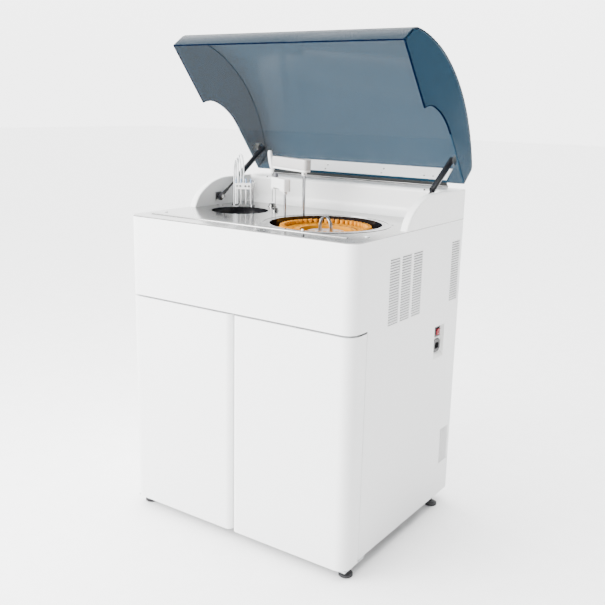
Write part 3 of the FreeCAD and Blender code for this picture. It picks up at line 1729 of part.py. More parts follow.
def rounded_path(points):
    """Straight runs joined by tangent arcs, each as large as its two runs allow."""
    reach_share = 0.45
    edges = []
    last = points[0]
    for before, corner, after in zip(points, points[1:], points[2:]):
        back = (before - corner).normalize()
        ahead = (after - corner).normalize()
        shorter = min((before - corner).Length, (after - corner).Length)
        tangent = shorter * reach_share
        radius = tangent / math.tan((math.pi - back.getAngle(ahead)) / 2)
        print("tubing bend radius", round(radius, 1))
        start, end = corner + back * tangent, corner + ahead * tangent
        bisector = (back + ahead).normalize()
        centre = corner + bisector * math.hypot(radius, tangent)
        edges.append(Part.LineSegment(last, start).toShape())
        edges.append(Part.Arc(start, centre + (corner - centre).normalize() * radius, end).toShape())
        last = end
    edges.append(Part.LineSegment(last, points[-1]).toShape())
    return Part.Wire(edges)


def wash_tubing():
    """Tubes that rise from the carriage, arch over and fall through the grommet."""
    ring = S.cuvette_ring.value
    low, lift = S.carriage_high.value, S.tube_high.value - S.carriage_high.value
    out, aside = S.tube_out.value, S.tube_aside.value
    tubes = []
    for share in TUBE_SHARES:
        near_y = S.tube_pitch.value * share
        far_y = aside + S.tube_spread.value * share
        points = []
        for along, up in TUBE_ROUTE_SHARES:
            height = low + (lift - near_y) * up
            points.append(FreeCAD.Vector(ring + out * along, near_y + (far_y - near_y) * along, height))
        points.append(FreeCAD.Vector(ring + out, far_y, S.tube_end.value))
        path = rounded_path(points)
        section = Part.Wire(Part.makeCircle(S.tube_radius.value, points[0], FreeCAD.Vector(0, 0, 1)))
        tube = path.makePipeShell([section], True, False)
        tubes.append(tube)
        expected = math.pi * S.tube_radius.value ** 2 * path.Length
        print("tube volume against section times length", round(tube.Volume / expected, 4))
    part = doc.addObject("Part::Feature", "wash_tubing")
    part.Label = "wash_tubing"
    part.Shape = Part.makeCompound(tubes)
    return place_wash(part)


# What the cabinet holds

def power_supply():
    body = make_body("power_supply")
    floor = S.frame_low + S.frame_tube + S.sheet_wall
    x, y, lip = S.supply_x, S.supply_y, S.supply_lip
    add(body, PLAN_VIEW, floor, floor + S.supply_height,
        box(x, y, x + S.supply_width, y + S.supply_length))
    add(body, PLAN_VIEW, floor, floor + S.sheet_wall,
        box(x - lip, y - lip, x + S.supply_width + lip, y + S.supply_length + lip))
    return stand(body)


def control_board():
    body = make_body("control_board")
    back = S.cabinet_depth - S.panel_wall
    face = back - S.board_gap
    front = face - S.board_wall
    half, low, high, margin = S.board_half, S.board_low, S.board_high, S.board_margin
    add(body, FRONT_VIEW, front, face, box(-half, low, half, high))
    pillars = [circle(side * (half - margin), z, S.board_pillar)
               for side in (1, -1) for z in (low + margin, high - margin)]
    add(body, FRONT_VIEW, face, back, *pillars)
    middle = (low + high) / 2
    chips = [centred_box(S.chip_half * 3 * step, middle, S.chip_half, S.chip_half) for step in (-2, 0)]
    add(body, FRONT_VIEW, front - S.chip_wall, front, *chips)
    sink = centred_box(S.chip_half * 4, middle, S.chip_half, S.heatsink_length / 2)
    add(body, FRONT_VIEW, front - S.heatsink_depth, front, sink)
    return stand(body)


def syringe_pump():
    body = make_body("syringe_pump")
    low = S.upper_low - S.pump_height
    x, y = S.pump_x, S.pump_y
    add(body, PLAN_VIEW, low, S.upper_low, box(x, y, x + S.pump_width, y + S.pump_length))
    middle = x + S.pump_width / 2
    start = low + (S.pump_height - S.barrel_length) / 2
    barrels = [circle(middle + S.barrel_pitch * step, y - S.barrel_radius + S.barrel_sink, S.barrel_radius)
               for step in (-0.5, 0.5)]
    add(body, PLAN_VIEW, start, start + S.barrel_length, *barrels)
    return stand(body)


def fluid_tanks():
    body = make_body("fluid_tanks")
    floor = S.frame_low + S.frame_tube + S.sheet_wall
    shoulder = floor + S.tank_height
    neck = shoulder + S.tank_neck_height
    for step in (0, 1):
        x = S.tank_x + S.tank_pitch * step
        y = S.tank_y
        add(body, PLAN_VIEW, floor, shoulder,
            rounded_box(x, y, x + S.tank_width, y + S.tank_length, S.tank_round))
        centre = (x + S.tank_width / 2, y + S.tank_length / 4)
        add(body, PLAN_VIEW, shoulder, neck, circle(*centre, S.tank_neck))
        add(body, PLAN_VIEW, neck, neck + S.tank_cap_height, circle(*centre, S.tank_cap))
    return stand(body)


def build():
    """Makes every sub-part of the analyzer and returns them in a list."""
    plate_top = S.outrigger_low + S.outrigger_wall
    rear_x, rear_y, rear_seat = S.rear_foot_x, S.rear_foot_y, S.frame_low
    front_x, front_y, front_seat = S.front_foot_x, S.front_foot_y, S.outrigger_low
    return [
        levelling_foot("levelling_foot_front_left", -front_x, front_y, front_seat, plate_top),
        levelling_foot("levelling_foot_front_right", front_x, front_y, front_seat, plate_top),
        levelling_foot("levelling_foot_rear_left", -rear_x, rear_y, rear_seat, rear_seat),
        levelling_foot("levelling_foot_rear_right", rear_x, rear_y, rear_seat, rear_seat),
        door_pivot_brackets(),
        base_frame(),
        frame_posts(),
        outer_casing(),
        vent_grille_right(),
        vent_grille_left(),
        back_panel(),
        fan_housing(),
        fan_rotor(),
        power_pocket(),
        mains_inlet(),
        switch_frame(),
        power_rocker(),
        mid_shelf(),
        deck_plate(),
        worktop(),
        lid_seal_rib(),
        lid_buffers(),
        hood_shell(),
        lid_shell(),
        lid_bracket_strip(),
        lid_strut_plates(),
        hinge_leaf_hood(),
        hinge_leaf_lid(),
        strut_brackets(),
        strut_rod("strut_rod_left", -1),
        strut_rod("strut_rod_right", 1),
        strut_cylinder("strut_cylinder_left", -1),
        strut_cylinder("strut_cylinder_right", 1),
        door_shell("left_door_shell", -1),
        door_shell("right_door_shell", 1),
        door_liner("left_door_liner", -1),
        door_liner("right_door_liner", 1),
        bowl("reaction_bowl", S.reaction_x, S.reaction_y, S.reaction_opening,
             S.reaction_bowl_wall, S.reaction_bowl_low),
        bowl("reagent_bowl", S.reagent_x, S.reagent_y, S.reagent_opening,
             S.reagent_bowl_wall, S.reagent_bowl_low),
        disc_motors(),
        reaction_disc(),
        cuvettes(),
        reagent_rotor(),
        reagent_rack(),
        rack_handle(),
        arm_lift_drives(),
        arm_column("probe_column", S.probe_x, S.probe_y, S.probe_column, S.probe_column_low,
                   S.probe_arm_low, S.arm_socket),
        probe_arm(),
        probe_needle(),
        arm_column("stirrer_column", S.stirrer_x, S.stirrer_y, S.stirrer_column,
                   S.stirrer_column_low, S.stirrer_low, S.stirrer_socket),
        stirrer_arm(),
        stirrer_paddle(),
        wash_station_post(),
        wash_wells(),
        wash_carriage(),
        wash_tubing(),
        power_supply(),
        control_board(),
        syringe_pump(),
        fluid_tanks(),
    ]


def check(parts):
    """Stops where a feature failed, cut nothing, or left no valid solid."""
    failed = [item.Label for item in doc.Objects if "Invalid" in item.State or "Error" in item.State]
    if failed:
        raise RuntimeError("failed objects: " + ", ".join(failed))
    for item in doc.Objects:
        if item.TypeId == "PartDesign::Pocket":
            before = item.BaseFeature.Shape.Volume
            if item.Shape.Volume > before * 0.999999:
                raise RuntimeError("nothing was cut by " + item.Label)
    for part in parts:
        if part.Shape.isNull() or not part.Shape.isValid() or not part.Shape.Solids:
            raise RuntimeError("no valid solid in " + part.Label)


def main():
    parts = build()
    doc.recompute()
    check(parts)
    os.makedirs("parts", exist_ok=True)
    for part in parts:
        part.Shape.exportStep(f"parts/{part.Label}.step")
    print(len(parts), "sub-parts written")


main()
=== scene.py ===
import json
import math
import bmesh
import bpy
from mathutils import Matrix, Vector

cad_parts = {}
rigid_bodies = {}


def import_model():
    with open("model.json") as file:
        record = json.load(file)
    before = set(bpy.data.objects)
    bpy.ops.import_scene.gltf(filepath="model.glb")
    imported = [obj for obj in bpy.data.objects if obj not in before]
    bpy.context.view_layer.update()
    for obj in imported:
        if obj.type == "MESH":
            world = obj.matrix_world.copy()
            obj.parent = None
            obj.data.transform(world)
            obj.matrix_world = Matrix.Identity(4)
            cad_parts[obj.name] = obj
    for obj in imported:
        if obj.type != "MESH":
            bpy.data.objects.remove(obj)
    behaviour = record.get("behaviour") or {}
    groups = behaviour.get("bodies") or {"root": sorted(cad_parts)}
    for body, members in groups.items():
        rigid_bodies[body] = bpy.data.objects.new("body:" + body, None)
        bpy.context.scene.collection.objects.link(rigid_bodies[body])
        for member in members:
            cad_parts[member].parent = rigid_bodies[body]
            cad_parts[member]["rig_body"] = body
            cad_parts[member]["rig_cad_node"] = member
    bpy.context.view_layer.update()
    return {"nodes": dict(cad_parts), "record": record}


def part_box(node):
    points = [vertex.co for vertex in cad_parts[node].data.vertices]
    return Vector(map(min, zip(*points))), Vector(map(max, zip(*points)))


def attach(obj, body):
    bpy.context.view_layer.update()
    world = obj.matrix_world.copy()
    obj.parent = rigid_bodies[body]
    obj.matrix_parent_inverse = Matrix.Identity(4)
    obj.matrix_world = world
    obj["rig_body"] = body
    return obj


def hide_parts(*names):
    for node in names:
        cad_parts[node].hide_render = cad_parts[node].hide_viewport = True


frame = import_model()
nodes = frame["nodes"]

# Places are given in the cabinet's own millimetres: x to the right, y back from the front
# plane, z up from the floor. The frame's own origin lies 355 mm behind the front plane.
# Small pieces are drawn at the origin, in metres, and moved to their places once finished.
FRONT_TO_DATUM = 355
SIDE_FACE, DECK_TOP = 410, 974.5
ABOVE, BEHIND = 1000, 700  # where rays down on the worktop and in on the rear panel start
DOWN, FORWARD = (0, 0, -1), (0, -1, 0)

# The photo's camera, solved from the cabinet's edges: angles in radians, lens in millimetres.
CAMERA_PLACE, CAMERA_LENS, SENSOR_WIDTH = (1462.3, -1781.8, 1320.0), 48.87, 36
CAMERA_AZIMUTH, CAMERA_ELEVATION, CAMERA_ROLL = 0.598087, 0.237908, 0.022670
TO_CAMERA = Vector((0.563, -0.826, 0))

# The studio: its own light, a grey card's light and direction, and the share at the horizon.
WHITE_LIGHT, CARD_LIGHT, HORIZON_SHARE = 6.4, 0.2, 0.72
CARD_WAY, CARD_START, CARD_FULL = (0.95, -0.1, -0.1), -0.1, 0.55

# The lid, with the shades of its one tinted sheet in the order of its material slots: the
# inside lighter as painted light, the roof and front darker as painted reflection, the cheeks
# darker as painted shade, the rims and rounded edges darkest as painted shade. Its parts are
# told apart by their places with the lid shut.
HINGE_Y, HINGE_Z, LID_OPEN = 667, 1071, math.radians(51.2)
LID_SHADES = ("blue_acrylic", "acrylic_rim", "acrylic_roof", "acrylic_cheek", "acrylic_corner")
CHEEK_INSIDE, CHEEK_ROUND, CHEEK_OUTSIDE = 404.8, 405.9, 409.5
FRONT_SKIN, LID_FOOT, LID_BACK, LID_TAIL = 56, 977, 640, 1075
ROOF_CENTRE, ROOF_SKIN = (418, 709), 488
# The rounding of its front upper edge, in y and z: how far it reaches along both walls and
# where it ends behind, how near a point counts as the edge and how deep that sinks, how much
# each wall bends, and how many loops are cut beside the edge.
LID_EDGE, EDGE_REACH, EDGE_END = (53.5, 1036.47), 36, 120
EDGE_NEAR, EDGE_DEPTH, EDGE_BEND, EDGE_LOOPS = 3, 6.7, math.radians(21), 6
FRONT_INWARD, ROOF_INWARD = Vector((1, 0)), Vector((0.7439, -0.6683))
EDGE_INWARD = Vector((0.9338, -0.3579))
# The width of the painted dark border round each cheek.
CHEEK_BORDER = 0.0024

# What stands on the deck: columns and discs in x and y, arms by their angle in degrees.
REACTION = (-228, 322)
REAGENT = (145, 265)
PROBE, PROBE_ANGLE = (-37, 412), 158
STIRRER, STIRRER_ANGLE = (-66, 349), 147
PROBE_LOW, PROBE_SEAM, PROBE_TOP = 1106, 1112.2, 1146
NEEDLE_REACH, PADDLE_REACH = 0.194, 0.086
WASH_ANGLE, NOZZLE_REACH, NOZZLE_STEP = 120.2, 0.08, 12
RACK_PLACES, RACK_START, RACK_REACH = 48, 197, 0.1302
STRUT_FOOT, STRUT_SLOPE = (372, 398, 1003), math.radians(33.75)

# Air slots in the sides: each field's first slot in y and z, its columns and its rows.
SIDE_SLOTS = {"right": ((189, 717, 3, 25), (592, 717, 1, 25), (592, 156, 1, 16)),
              "left": ((189, 717, 3, 25),)}
SLOT_LENGTH, COLUMN_PITCH, ROW_PITCH = 58, 70.5, 7.75
LIP_OUT, LIP_UP = 0.9, 4.4  # a lip's middle from the side face and over its slot's lower edge
SHADOW_LAP, SHADOW_CELL = 2, (62, 7)  # a painted shadow sheet starts this far outside its slots, and its size for one slot
SHADOW_GAP, INDOORS = 0.8, 330  # a sheet's middle from the wall, and where rays at the wall start

# The exhaust fan's middle on the rear panel in x and z, and its guard's rings and screws.
FAN, GUARD_RINGS, GUARD_CORNER = (200, 840), (18, 28, 38, 48, 57), 52.5


def at(x, y, z):
    """A place in the cabinet's millimetres, in the frame's metres."""
    return Vector((x / 1000, (y - FRONT_TO_DATUM) / 1000, z / 1000))


def on_lid(x, y, z):
    """A point of the shut lid, where it is with the lid open."""
    across, up = y - HINGE_Y, z - HINGE_Z
    c, s = math.cos(LID_OPEN), math.sin(LID_OPEN)
    return at(x, HINGE_Y + across * c + up * s, HINGE_Z + up * c - across * s)


def lid_way(y, z):
    """A direction of the shut lid in y and z, as it is with the lid open."""
    return on_lid(0, y, z) - on_lid(0, 0, 0)


# Shader nodes

class Field:
    """A node's output that can be used in sums like a number."""

    def __init__(self, maker, socket):
        self.maker = maker
        self.socket = socket

    def maths(self, operation, first, second):
        return self.maker.add("ShaderNodeMath", {"operation": operation}, {0: first, 1: second})

    def __add__(self, other):
        return self.maths("ADD", self, other)

    def __radd__(self, other):
        return self.maths("ADD", other, self)

    def __sub__(self, other):
        return self.maths("SUBTRACT", self, other)

    def __rsub__(self, other):
        return self.maths("SUBTRACT", other, self)

    def __mul__(self, other):
        return self.maths("MULTIPLY", self, other)

    def __rmul__(self, other):
        return self.maths("MULTIPLY", other, self)

    def __truediv__(self, other):
        return self.maths("DIVIDE", self, other)

    def __rtruediv__(self, other):
        return self.maths("DIVIDE", other, self)


class Maker:
    """A node tree in the making, with one method that adds any node."""

    def __init__(self, tree):
        self.tree = tree

    def add(self, kind, settings, inputs, output=0):
        node = self.tree.nodes.new(kind)
        for name, value in settings.items():
            setattr(node, name, value)
        for key, value in inputs.items():
            self.fill(node.inputs[key], value)
        return Field(self, node.outputs[output])

    def fill(self, socket, value):
        if isinstance(value, Field):
            self.tree.links.new(value.socket, socket)
        else:
            socket.default_value = value


class Finish(Maker):
    """A material in the making, with its main shader."""

    def __init__(self, name, colour, roughness, metallic=0.0):
        self.material = bpy.data.materials.new(name)
        self.material.use_nodes = True
        super().__init__(self.material.node_tree)
        self.shader = self.tree.nodes["Principled BSDF"]
        self.colour = colour
        self.roughness = roughness
        self.set("Base Color", (*colour, 1))
        self.set("Roughness", roughness)
        self.set("Metallic", metallic)

    def set(self, name, value):
        self.fill(self.shader.inputs[name], value)

    def place(self, centre=(0, 0, 0), stretch=(1, 1, 1)):
        """Object coordinates, counted from a centre and stretched."""
        raw = self.add("ShaderNodeTexCoord", {}, {}, "Object")
        moved = self.add("ShaderNodeVectorMath", {"operation": "SUBTRACT"},
                         {0: raw, 1: tuple(centre)})
        return self.add("ShaderNodeVectorMath", {"operation": "MULTIPLY"}, {0: moved, 1: stretch})

    def radius(self, centre):
        flat = self.place(centre, (1, 1, 0))
        return self.add("ShaderNodeVectorMath", {"operation": "LENGTH"}, {0: flat}, "Value")

    def noise(self, scale, detail=2.0, stretch=(1, 1, 1)):
        inputs = {"Vector": self.place(stretch=stretch), "Scale": scale, "Detail": detail}
        return self.add("ShaderNodeTexNoise", {}, inputs, "Fac")

    def tone(self, field, dull, pale=1.0):
        """The base colour goes from a duller to a paler shade as a field goes from 0 to 1."""
        low, high = ((*(min(1, part * share) for part in self.colour), 1) for share in (dull, pale))
        inputs = {"Factor": field, 6: low, 7: high}
        self.set("Base Color", self.add("ShaderNodeMix", {"data_type": "RGBA"}, inputs, 2))

    def gloss(self, *shares):
        """Fields from 0 to 1 change the roughness round its mean, each by its own share."""
        start = self.roughness - sum(share for field, share in shares) / 2
        self.set("Roughness", sum((field * share for field, share in shares), start))

    def bump(self, height, depth):
        """Height from 0 to 1 becomes relief of a depth in metres."""
        inputs = {"Distance": depth, "Height": height}
        self.set("Normal", self.add("ShaderNodeBump", {}, inputs))


# Camera, floor and light

def set_camera():
    """The camera of the photo."""
    data = bpy.data.cameras.new("photo_camera")
    data.lens = CAMERA_LENS
    data.sensor_width = SENSOR_WIDTH
    camera = bpy.data.objects.new("photo_camera", data)
    bpy.context.scene.collection.objects.link(camera)
    turn = Matrix.Rotation(CAMERA_AZIMUTH, 4, "Z")
    tilt = Matrix.Rotation(math.pi / 2 - CAMERA_ELEVATION, 4, "X")
    roll = Matrix.Rotation(CAMERA_ROLL, 4, "Z")
    camera.matrix_world = Matrix.Translation(at(*CAMERA_PLACE)) @ turn @ tilt @ roll
    bpy.context.scene.camera = camera


def set_floor(finish):
    """A pale floor that is seen but isn't part of the object."""
    deselect()
    bpy.ops.mesh.primitive_plane_add(size=60, location=(0, 0, 0))
    floor = bpy.context.object
    floor.name = "studio_floor"
    floor.data.materials.append(finish.material)


def set_light(name, place, aim, size, power):
    """A soft white light, with its size in metres and its power in watts."""
    data = bpy.data.lights.new(name, "AREA")
    data.shape = "RECTANGLE"
    data.size, data.size_y = size
    data.energy = power
    light = bpy.data.objects.new(name, data)
    bpy.context.scene.collection.objects.link(light)
    light.matrix_world = facing(place, place - aim)


def set_world():
    """A white studio, even all round. A grey card on the right takes light but isn't seen."""
    world = bpy.data.worlds.new("studio")
    world.use_nodes = True
    background = world.node_tree.nodes["Background"]
    background.inputs["Color"].default_value = (1, 1, 1, 1)
    sky = Maker(world.node_tree)
    smooth = {"interpolation_type": "SMOOTHSTEP"}
    way = sky.add("ShaderNodeTexCoord", {}, {}, "Generated")
    turn = sky.add("ShaderNodeVectorMath", {"operation": "DOT_PRODUCT"},
                   {0: way, 1: CARD_WAY}, "Value")
    carded = sky.add("ShaderNodeMapRange", smooth, {
        "Value": turn, "From Min": CARD_START, "From Max": CARD_FULL,
        "To Min": WHITE_LIGHT, "To Max": CARD_LIGHT})
    seen = sky.add("ShaderNodeLightPath", {}, {}, "Is Camera Ray")
    strength = sky.add("ShaderNodeMapRange", {}, {
        "Value": seen, "To Min": carded, "To Max": WHITE_LIGHT})
    rise = sky.add("ShaderNodeSeparateXYZ", {}, {0: way}, "Z")
    fade = sky.add("ShaderNodeMapRange", smooth, {
        "Value": rise, "From Max": 0.5, "To Min": HORIZON_SHARE})
    sky.fill(background.inputs["Strength"], strength * fade)
    bpy.context.scene.world = world


# Materials

def paint(name, colour, roughness=0.36, peel=0.00002):
    """Powder coat: faint orange peel, a little uneven in tone and gloss."""
    finish = Finish(name, colour, roughness)
    cloud = finish.noise(3.0, 3.0)
    speck = finish.noise(420.0)
    finish.tone(cloud, 0.97, 1.015)
    finish.gloss((speck, 0.08), (cloud, 0.05))
    finish.bump(speck, peel)
    finish.set("Specular IOR Level", 0.45)
    return finish


def moulded(name, colour, roughness=0.28, texture=0.000015, coat=0.0):
    """Moulded plastic with a fine texture and small changes of gloss."""
    finish = Finish(name, colour, roughness)
    fine = finish.noise(900.0)
    broad = finish.noise(14.0, 3.0)
    finish.tone(broad, 0.93)
    finish.gloss((fine, 0.1), (broad, 0.08))
    finish.bump(fine, texture)
    finish.set("Coat Weight", coat)
    return finish


def brushed(name, colour, roughness, along="X", fine=1500.0, depth=0.000006):
    """Metal with brush lines along one axis."""
    finish = Finish(name, colour, roughness, 1.0)
    stretch = tuple(0.012 if axis == along else 1.0 for axis in "XYZ")
    lines = finish.noise(fine, stretch=stretch)
    cloud = finish.noise(6.0, 3.0)
    finish.tone(lines, 0.86)
    finish.gloss((lines, 0.12), (cloud, 0.08))
    finish.bump(lines, depth)
    return finish


def turned(name, colour, roughness, centre):
    """Metal turned on a lathe: rings 0.7 mm apart round an upright axis."""
    finish = Finish(name, colour, roughness, 1.0)
    reach = finish.radius(at(*centre, 0))
    rings = finish.add("ShaderNodeTexNoise", {"noise_dimensions": "1D"},
                       {"W": reach / 0.0007, "Scale": 1.0, "Detail": 2.0}, "Fac")
    finish.tone(rings, 0.82)
    finish.gloss((rings, 0.16))
    finish.bump(rings, 0.00001)
    return finish


def tinted(name, colour, alpha, specular):
    """Tinted acrylic: slightly uneven in depth, with a little dust in its gloss."""
    finish = Finish(name, colour, 0.13)
    ripple = finish.noise(5.0)
    dust = finish.noise(60.0, 3.0)
    finish.tone(ripple, 0.92)
    finish.gloss((dust, 0.06), (ripple, 0.04))
    finish.set("Specular IOR Level", specular)
    finish.set("Alpha", alpha)
    return finish


def make_finishes():
    made = {
        "white_casing": paint("white_powder_coat", (0.83, 0.835, 0.835)),
        "frame_steel": paint("grey_powder_coat", (0.55, 0.56, 0.57), 0.45),
        "white_plastic": moulded("white_plastic", (0.86, 0.86, 0.85), 0.3),
        "white_strip": paint("white_enamel", (0.86, 0.86, 0.85), 0.3),
        # A near-black sheet behind the air slots: painted shade for the slots' insides.
        "slot_shadow_sheet": moulded("slot_shadow_sheet", (0.035, 0.036, 0.037), 0.9, 0.00005),
        "cover_plastic": moulded("cover_plastic", (0.52, 0.5, 0.49), 0.3),
        "black_plastic": moulded("black_plastic", (0.018, 0.018, 0.02), 0.42, 0.00003),
        "black_gloss": moulded("black_gloss_plastic", (0.006, 0.006, 0.007), 0.15, 0.000002, 0.4),
        "red_plastic": moulded("red_rocker_plastic", (0.3, 0.01, 0.022), 0.4),
        "foot_rubber": moulded("foot_rubber", (0.025, 0.025, 0.027), 0.7, 0.00005),
        "deck_aluminium": brushed("deck_aluminium", (0.62, 0.63, 0.64), 0.35),
        "polished_steel": brushed("polished_steel", (0.31, 0.31, 0.305), 0.13,
                                  fine=900.0, depth=0.0000008),
        "hinge_steel": brushed("hinge_steel", (0.5, 0.5, 0.49), 0.28),
        "dark_hinge": brushed("dark_hinge_steel", (0.12, 0.12, 0.12), 0.3),
        "column_steel": brushed("ground_steel", (0.3, 0.3, 0.31), 0.14,
                                fine=2500.0, depth=0.000002),
        "needle_steel": brushed("needle_steel", (0.26, 0.26, 0.26), 0.18, "Z", 3000.0, 0.000001),
        "motor_metal": paint("dark_enamel", (0.09, 0.09, 0.1), 0.4),
        "strut_black": paint("strut_enamel", (0.012, 0.012, 0.014), 0.25, 0.000005),
        "silver_metal": turned("turned_aluminium", (0.78, 0.78, 0.78), 0.26, REAGENT),
        "yellow_plastic": moulded("yellow_plastic", (0.56, 0.215, 0.0005), 0.45, 0.00002),
        "green_board": moulded("board_lacquer", (0.012, 0.11, 0.04), 0.25, 0.00001, 0.3),
        "tank_plastic": moulded("natural_polyethylene", (0.78, 0.79, 0.78), 0.45, 0.00004),
        "clear_plastic": moulded("clear_plastic", (0.75, 0.78, 0.8), 0.1, 0.000002),
        "clear_tube": moulded("clear_tube", (0.8, 0.82, 0.83), 0.24, 0.000004, 0.3),
        "blue_silicone": moulded("blue_silicone", (0.3, 0.42, 0.6), 0.3, 0.000004),
        # One tinted sheet in five shades: the inside lighter as painted light, the roof and front
        # darker as painted reflection, the cheeks darker and the rims and rounded edges darkest as
        # painted shade.
        "blue_acrylic": tinted("blue_acrylic", (0.014, 0.046, 0.078), 0.84, 0.04),
        "acrylic_roof": tinted("acrylic_roof", (0.004, 0.014, 0.024), 0.84, 0.05),
        "acrylic_cheek": tinted("acrylic_cheek", (0.008, 0.036, 0.064), 0.86, 0.03),
        "acrylic_rim": tinted("acrylic_rim", (0.001, 0.004, 0.014), 1.0, 0.0),
        "acrylic_corner": tinted("acrylic_corner", (0.004, 0.016, 0.03), 0.86, 0.0),
        "floor": moulded("studio_floor", (0.95, 0.95, 0.95), 0.8),
    }
    for name, socket, value in (
            ("red_plastic", "Specular IOR Level", 0.2),
            ("yellow_plastic", "Specular IOR Level", 0.15),
            ("floor", "Specular IOR Level", 0.1),
            ("clear_plastic", "Alpha", 0.45),
            ("clear_tube", "Alpha", 0.8),
            ("blue_silicone", "Alpha", 0.85)):
        made[name].set(socket, value)
    return made


def dress_nodes(finishes):
    """Every node takes the finish of its own slot, but for the dark hinge and the steel wells."""
    own = {"hinge_leaf_lid": "dark_hinge", "hinge_leaf_hood": "dark_hinge",
           "wash_wells": "polished_steel"}
    for part in frame["record"]["subparts"]:
        item = nodes[part["node"]]
        slot = own.get(part["node"], part["material_slot"])
        item.data.materials.clear()
        item.data.materials.append(finishes[slot].material)


# Modelling by hand

def deselect():
    bpy.ops.object.select_all(action="DESELECT")


def begin(name, add, **settings):
    """Adds a primitive at its size and place, and opens it for editing by faces."""
    deselect()
    add(**settings)
    piece = bpy.context.object
    piece.name = name
    piece.data.name = name
    bpy.ops.object.transform_apply(location=True, rotation=True, scale=True)
    bpy.ops.object.mode_set(mode="EDIT")
    bpy.ops.mesh.select_mode(type="FACE")
    return piece


def box(name, size, middle=(0, 0, 0)):
    return begin(name, bpy.ops.mesh.primitive_cube_add, size=1, location=middle, scale=size)


def block(name, low, high):
    """A box from its lowest and highest corners in millimetres."""
    middle = [(a + b) / 2000 for a, b in zip(low, high)]
    size = [(b - a) / 1000 for a, b in zip(low, high)]
    return box(name, size, middle)


def hoop(name, radius, wire, around, across=8, **place):
    """A torus: its radius, its wire's radius, and how many segments go round each."""
    return begin(name, bpy.ops.mesh.primitive_torus_add, major_radius=radius, minor_radius=wire,
                 major_segments=around, minor_segments=across, **place)


def spindle(name, sides, radius, height, middle=(0, 0, 0), steps=()):
    """A cylinder with its top drawn out in steps."""
    piece = begin(name, bpy.ops.mesh.primitive_cylinder_add, vertices=sides, radius=radius,
                  depth=height, location=middle)
    choose(piece, toward(0, 0, 1))
    draw_out(steps, middle)
    return piece


def toward(x, y, z):
    """Accepts the faces that look in a direction."""
    return lambda face: face.normal.dot(Vector((x, y, z))) > 0.9


def choose(piece, wanted, kind="FACE"):
    """Selects the faces or edges that wanted(item) accepts."""
    bpy.ops.mesh.select_mode(type=kind)
    bpy.ops.mesh.select_all(action="DESELECT")
    mesh = bmesh.from_edit_mesh(piece.data)
    for item in mesh.faces if kind == "FACE" else mesh.edges:
        if wanted(item):
            item.select_set(True)
    bmesh.update_edit_mesh(piece.data)


def draw_out(steps, middle):
    """Extrudes the chosen top in steps: how far up, how much wider, how far aside in x."""
    x, y = middle[:2]
    for rise, widen, *aside in steps:
        lean = aside[0] if aside else 0
        x += lean
        bpy.ops.mesh.extrude_region_move(TRANSFORM_OT_translate={"value": (lean, 0, rise)})
        resize(widen, widen, 1, (x, y, 0))


def resize(x, y, z, middle=(0, 0, 0)):
    """Scales the chosen faces about a point."""
    bpy.ops.transform.resize(value=(x, y, z), center_override=middle)


def round_uprights(piece, radius, limit=math.inf):
    """Rounds the upright edges whose x is below a limit."""
    choose(piece, lambda edge: all(corner.co.x < limit for corner in edge.verts)
           and abs(edge.verts[0].co.z - edge.verts[1].co.z) > 0.001, "EDGE")
    bpy.ops.mesh.bevel(offset=radius, segments=5, affect="EDGES")


def close(piece, edge=0.0, segments=2, angle=30, smooth=35):
    """Leaves edit mode, rounds the sharp edges and shades the rest smooth."""
    if piece.mode == "EDIT":
        bpy.ops.object.mode_set(mode="OBJECT")
    deselect()
    piece.select_set(True)
    bpy.context.view_layer.objects.active = piece
    if edge:
        rounding = piece.modifiers.new("rounding", "BEVEL")
        rounding.width = edge
        rounding.segments = segments
        rounding.limit_method = "ANGLE"
        rounding.angle_limit = math.radians(angle)
        bpy.ops.object.modifier_apply(modifier="rounding")
    bpy.ops.object.shade_smooth_by_angle(angle=math.radians(smooth))
    return piece


def settle(piece, body, finish):
    """The finished piece takes its finish and rides on its body."""
    piece.data.materials.clear()
    piece.data.materials.append(finish.material)
    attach(piece, body)
    return piece


def carve(piece, cutter):
    """Takes the cutter's shape out of a piece and drops the cutter."""
    deselect()
    bpy.context.view_layer.objects.active = piece
    cut = piece.modifiers.new("cut", "BOOLEAN")
    cut.object = cutter
    cut.operation = "DIFFERENCE"
    cut.solver = "EXACT"
    bpy.ops.object.modifier_apply(modifier="cut")
    drop(cutter)


def drop(piece):
    mesh = piece.data
    bpy.data.objects.remove(piece)
    bpy.data.meshes.remove(mesh)


def repeat(pattern, name, matrices):
    """Copies a small piece to each place and joins the copies, then drops the pattern."""
    deselect()
    for matrix in matrices:
        twin = pattern.copy()
        twin.data = pattern.data.copy()
        twin.data.transform(matrix)
        bpy.context.scene.collection.objects.link(twin)
        twin.select_set(True)
        bpy.context.view_layer.objects.active = twin
    bpy.ops.object.join()
    group = bpy.context.object
    group.name = name
    group.data.name = name
    drop(pattern)
    return group


def facing(point, normal):
    """Puts a piece drawn upright at the origin on a point, standing out along a direction."""
    turn = Vector(normal).to_track_quat("Z", "Y").to_matrix().to_4x4()
    return Matrix.Translation(point) @ turn


def touch(node, start, direction):
    """Where a ray meets a node's surface, and which way the surface faces there."""
    found, point, normal, _ = nodes[node].ray_cast(Vector(start), Vector(direction).normalized())
    if not found:
        raise ValueError(f"nothing of {node} lies that way")
    return point, normal


def seat(node, start, direction):
    """Puts a piece drawn upright at the origin on the surface that a ray meets."""
    return facing(*touch(node, start, direction))


def on_worktop(x, y):
    return seat("worktop", at(x, y, ABOVE), DOWN)


def on_back(x, z):
    return seat("back_panel", at(x, BEHIND, z), FORWARD)


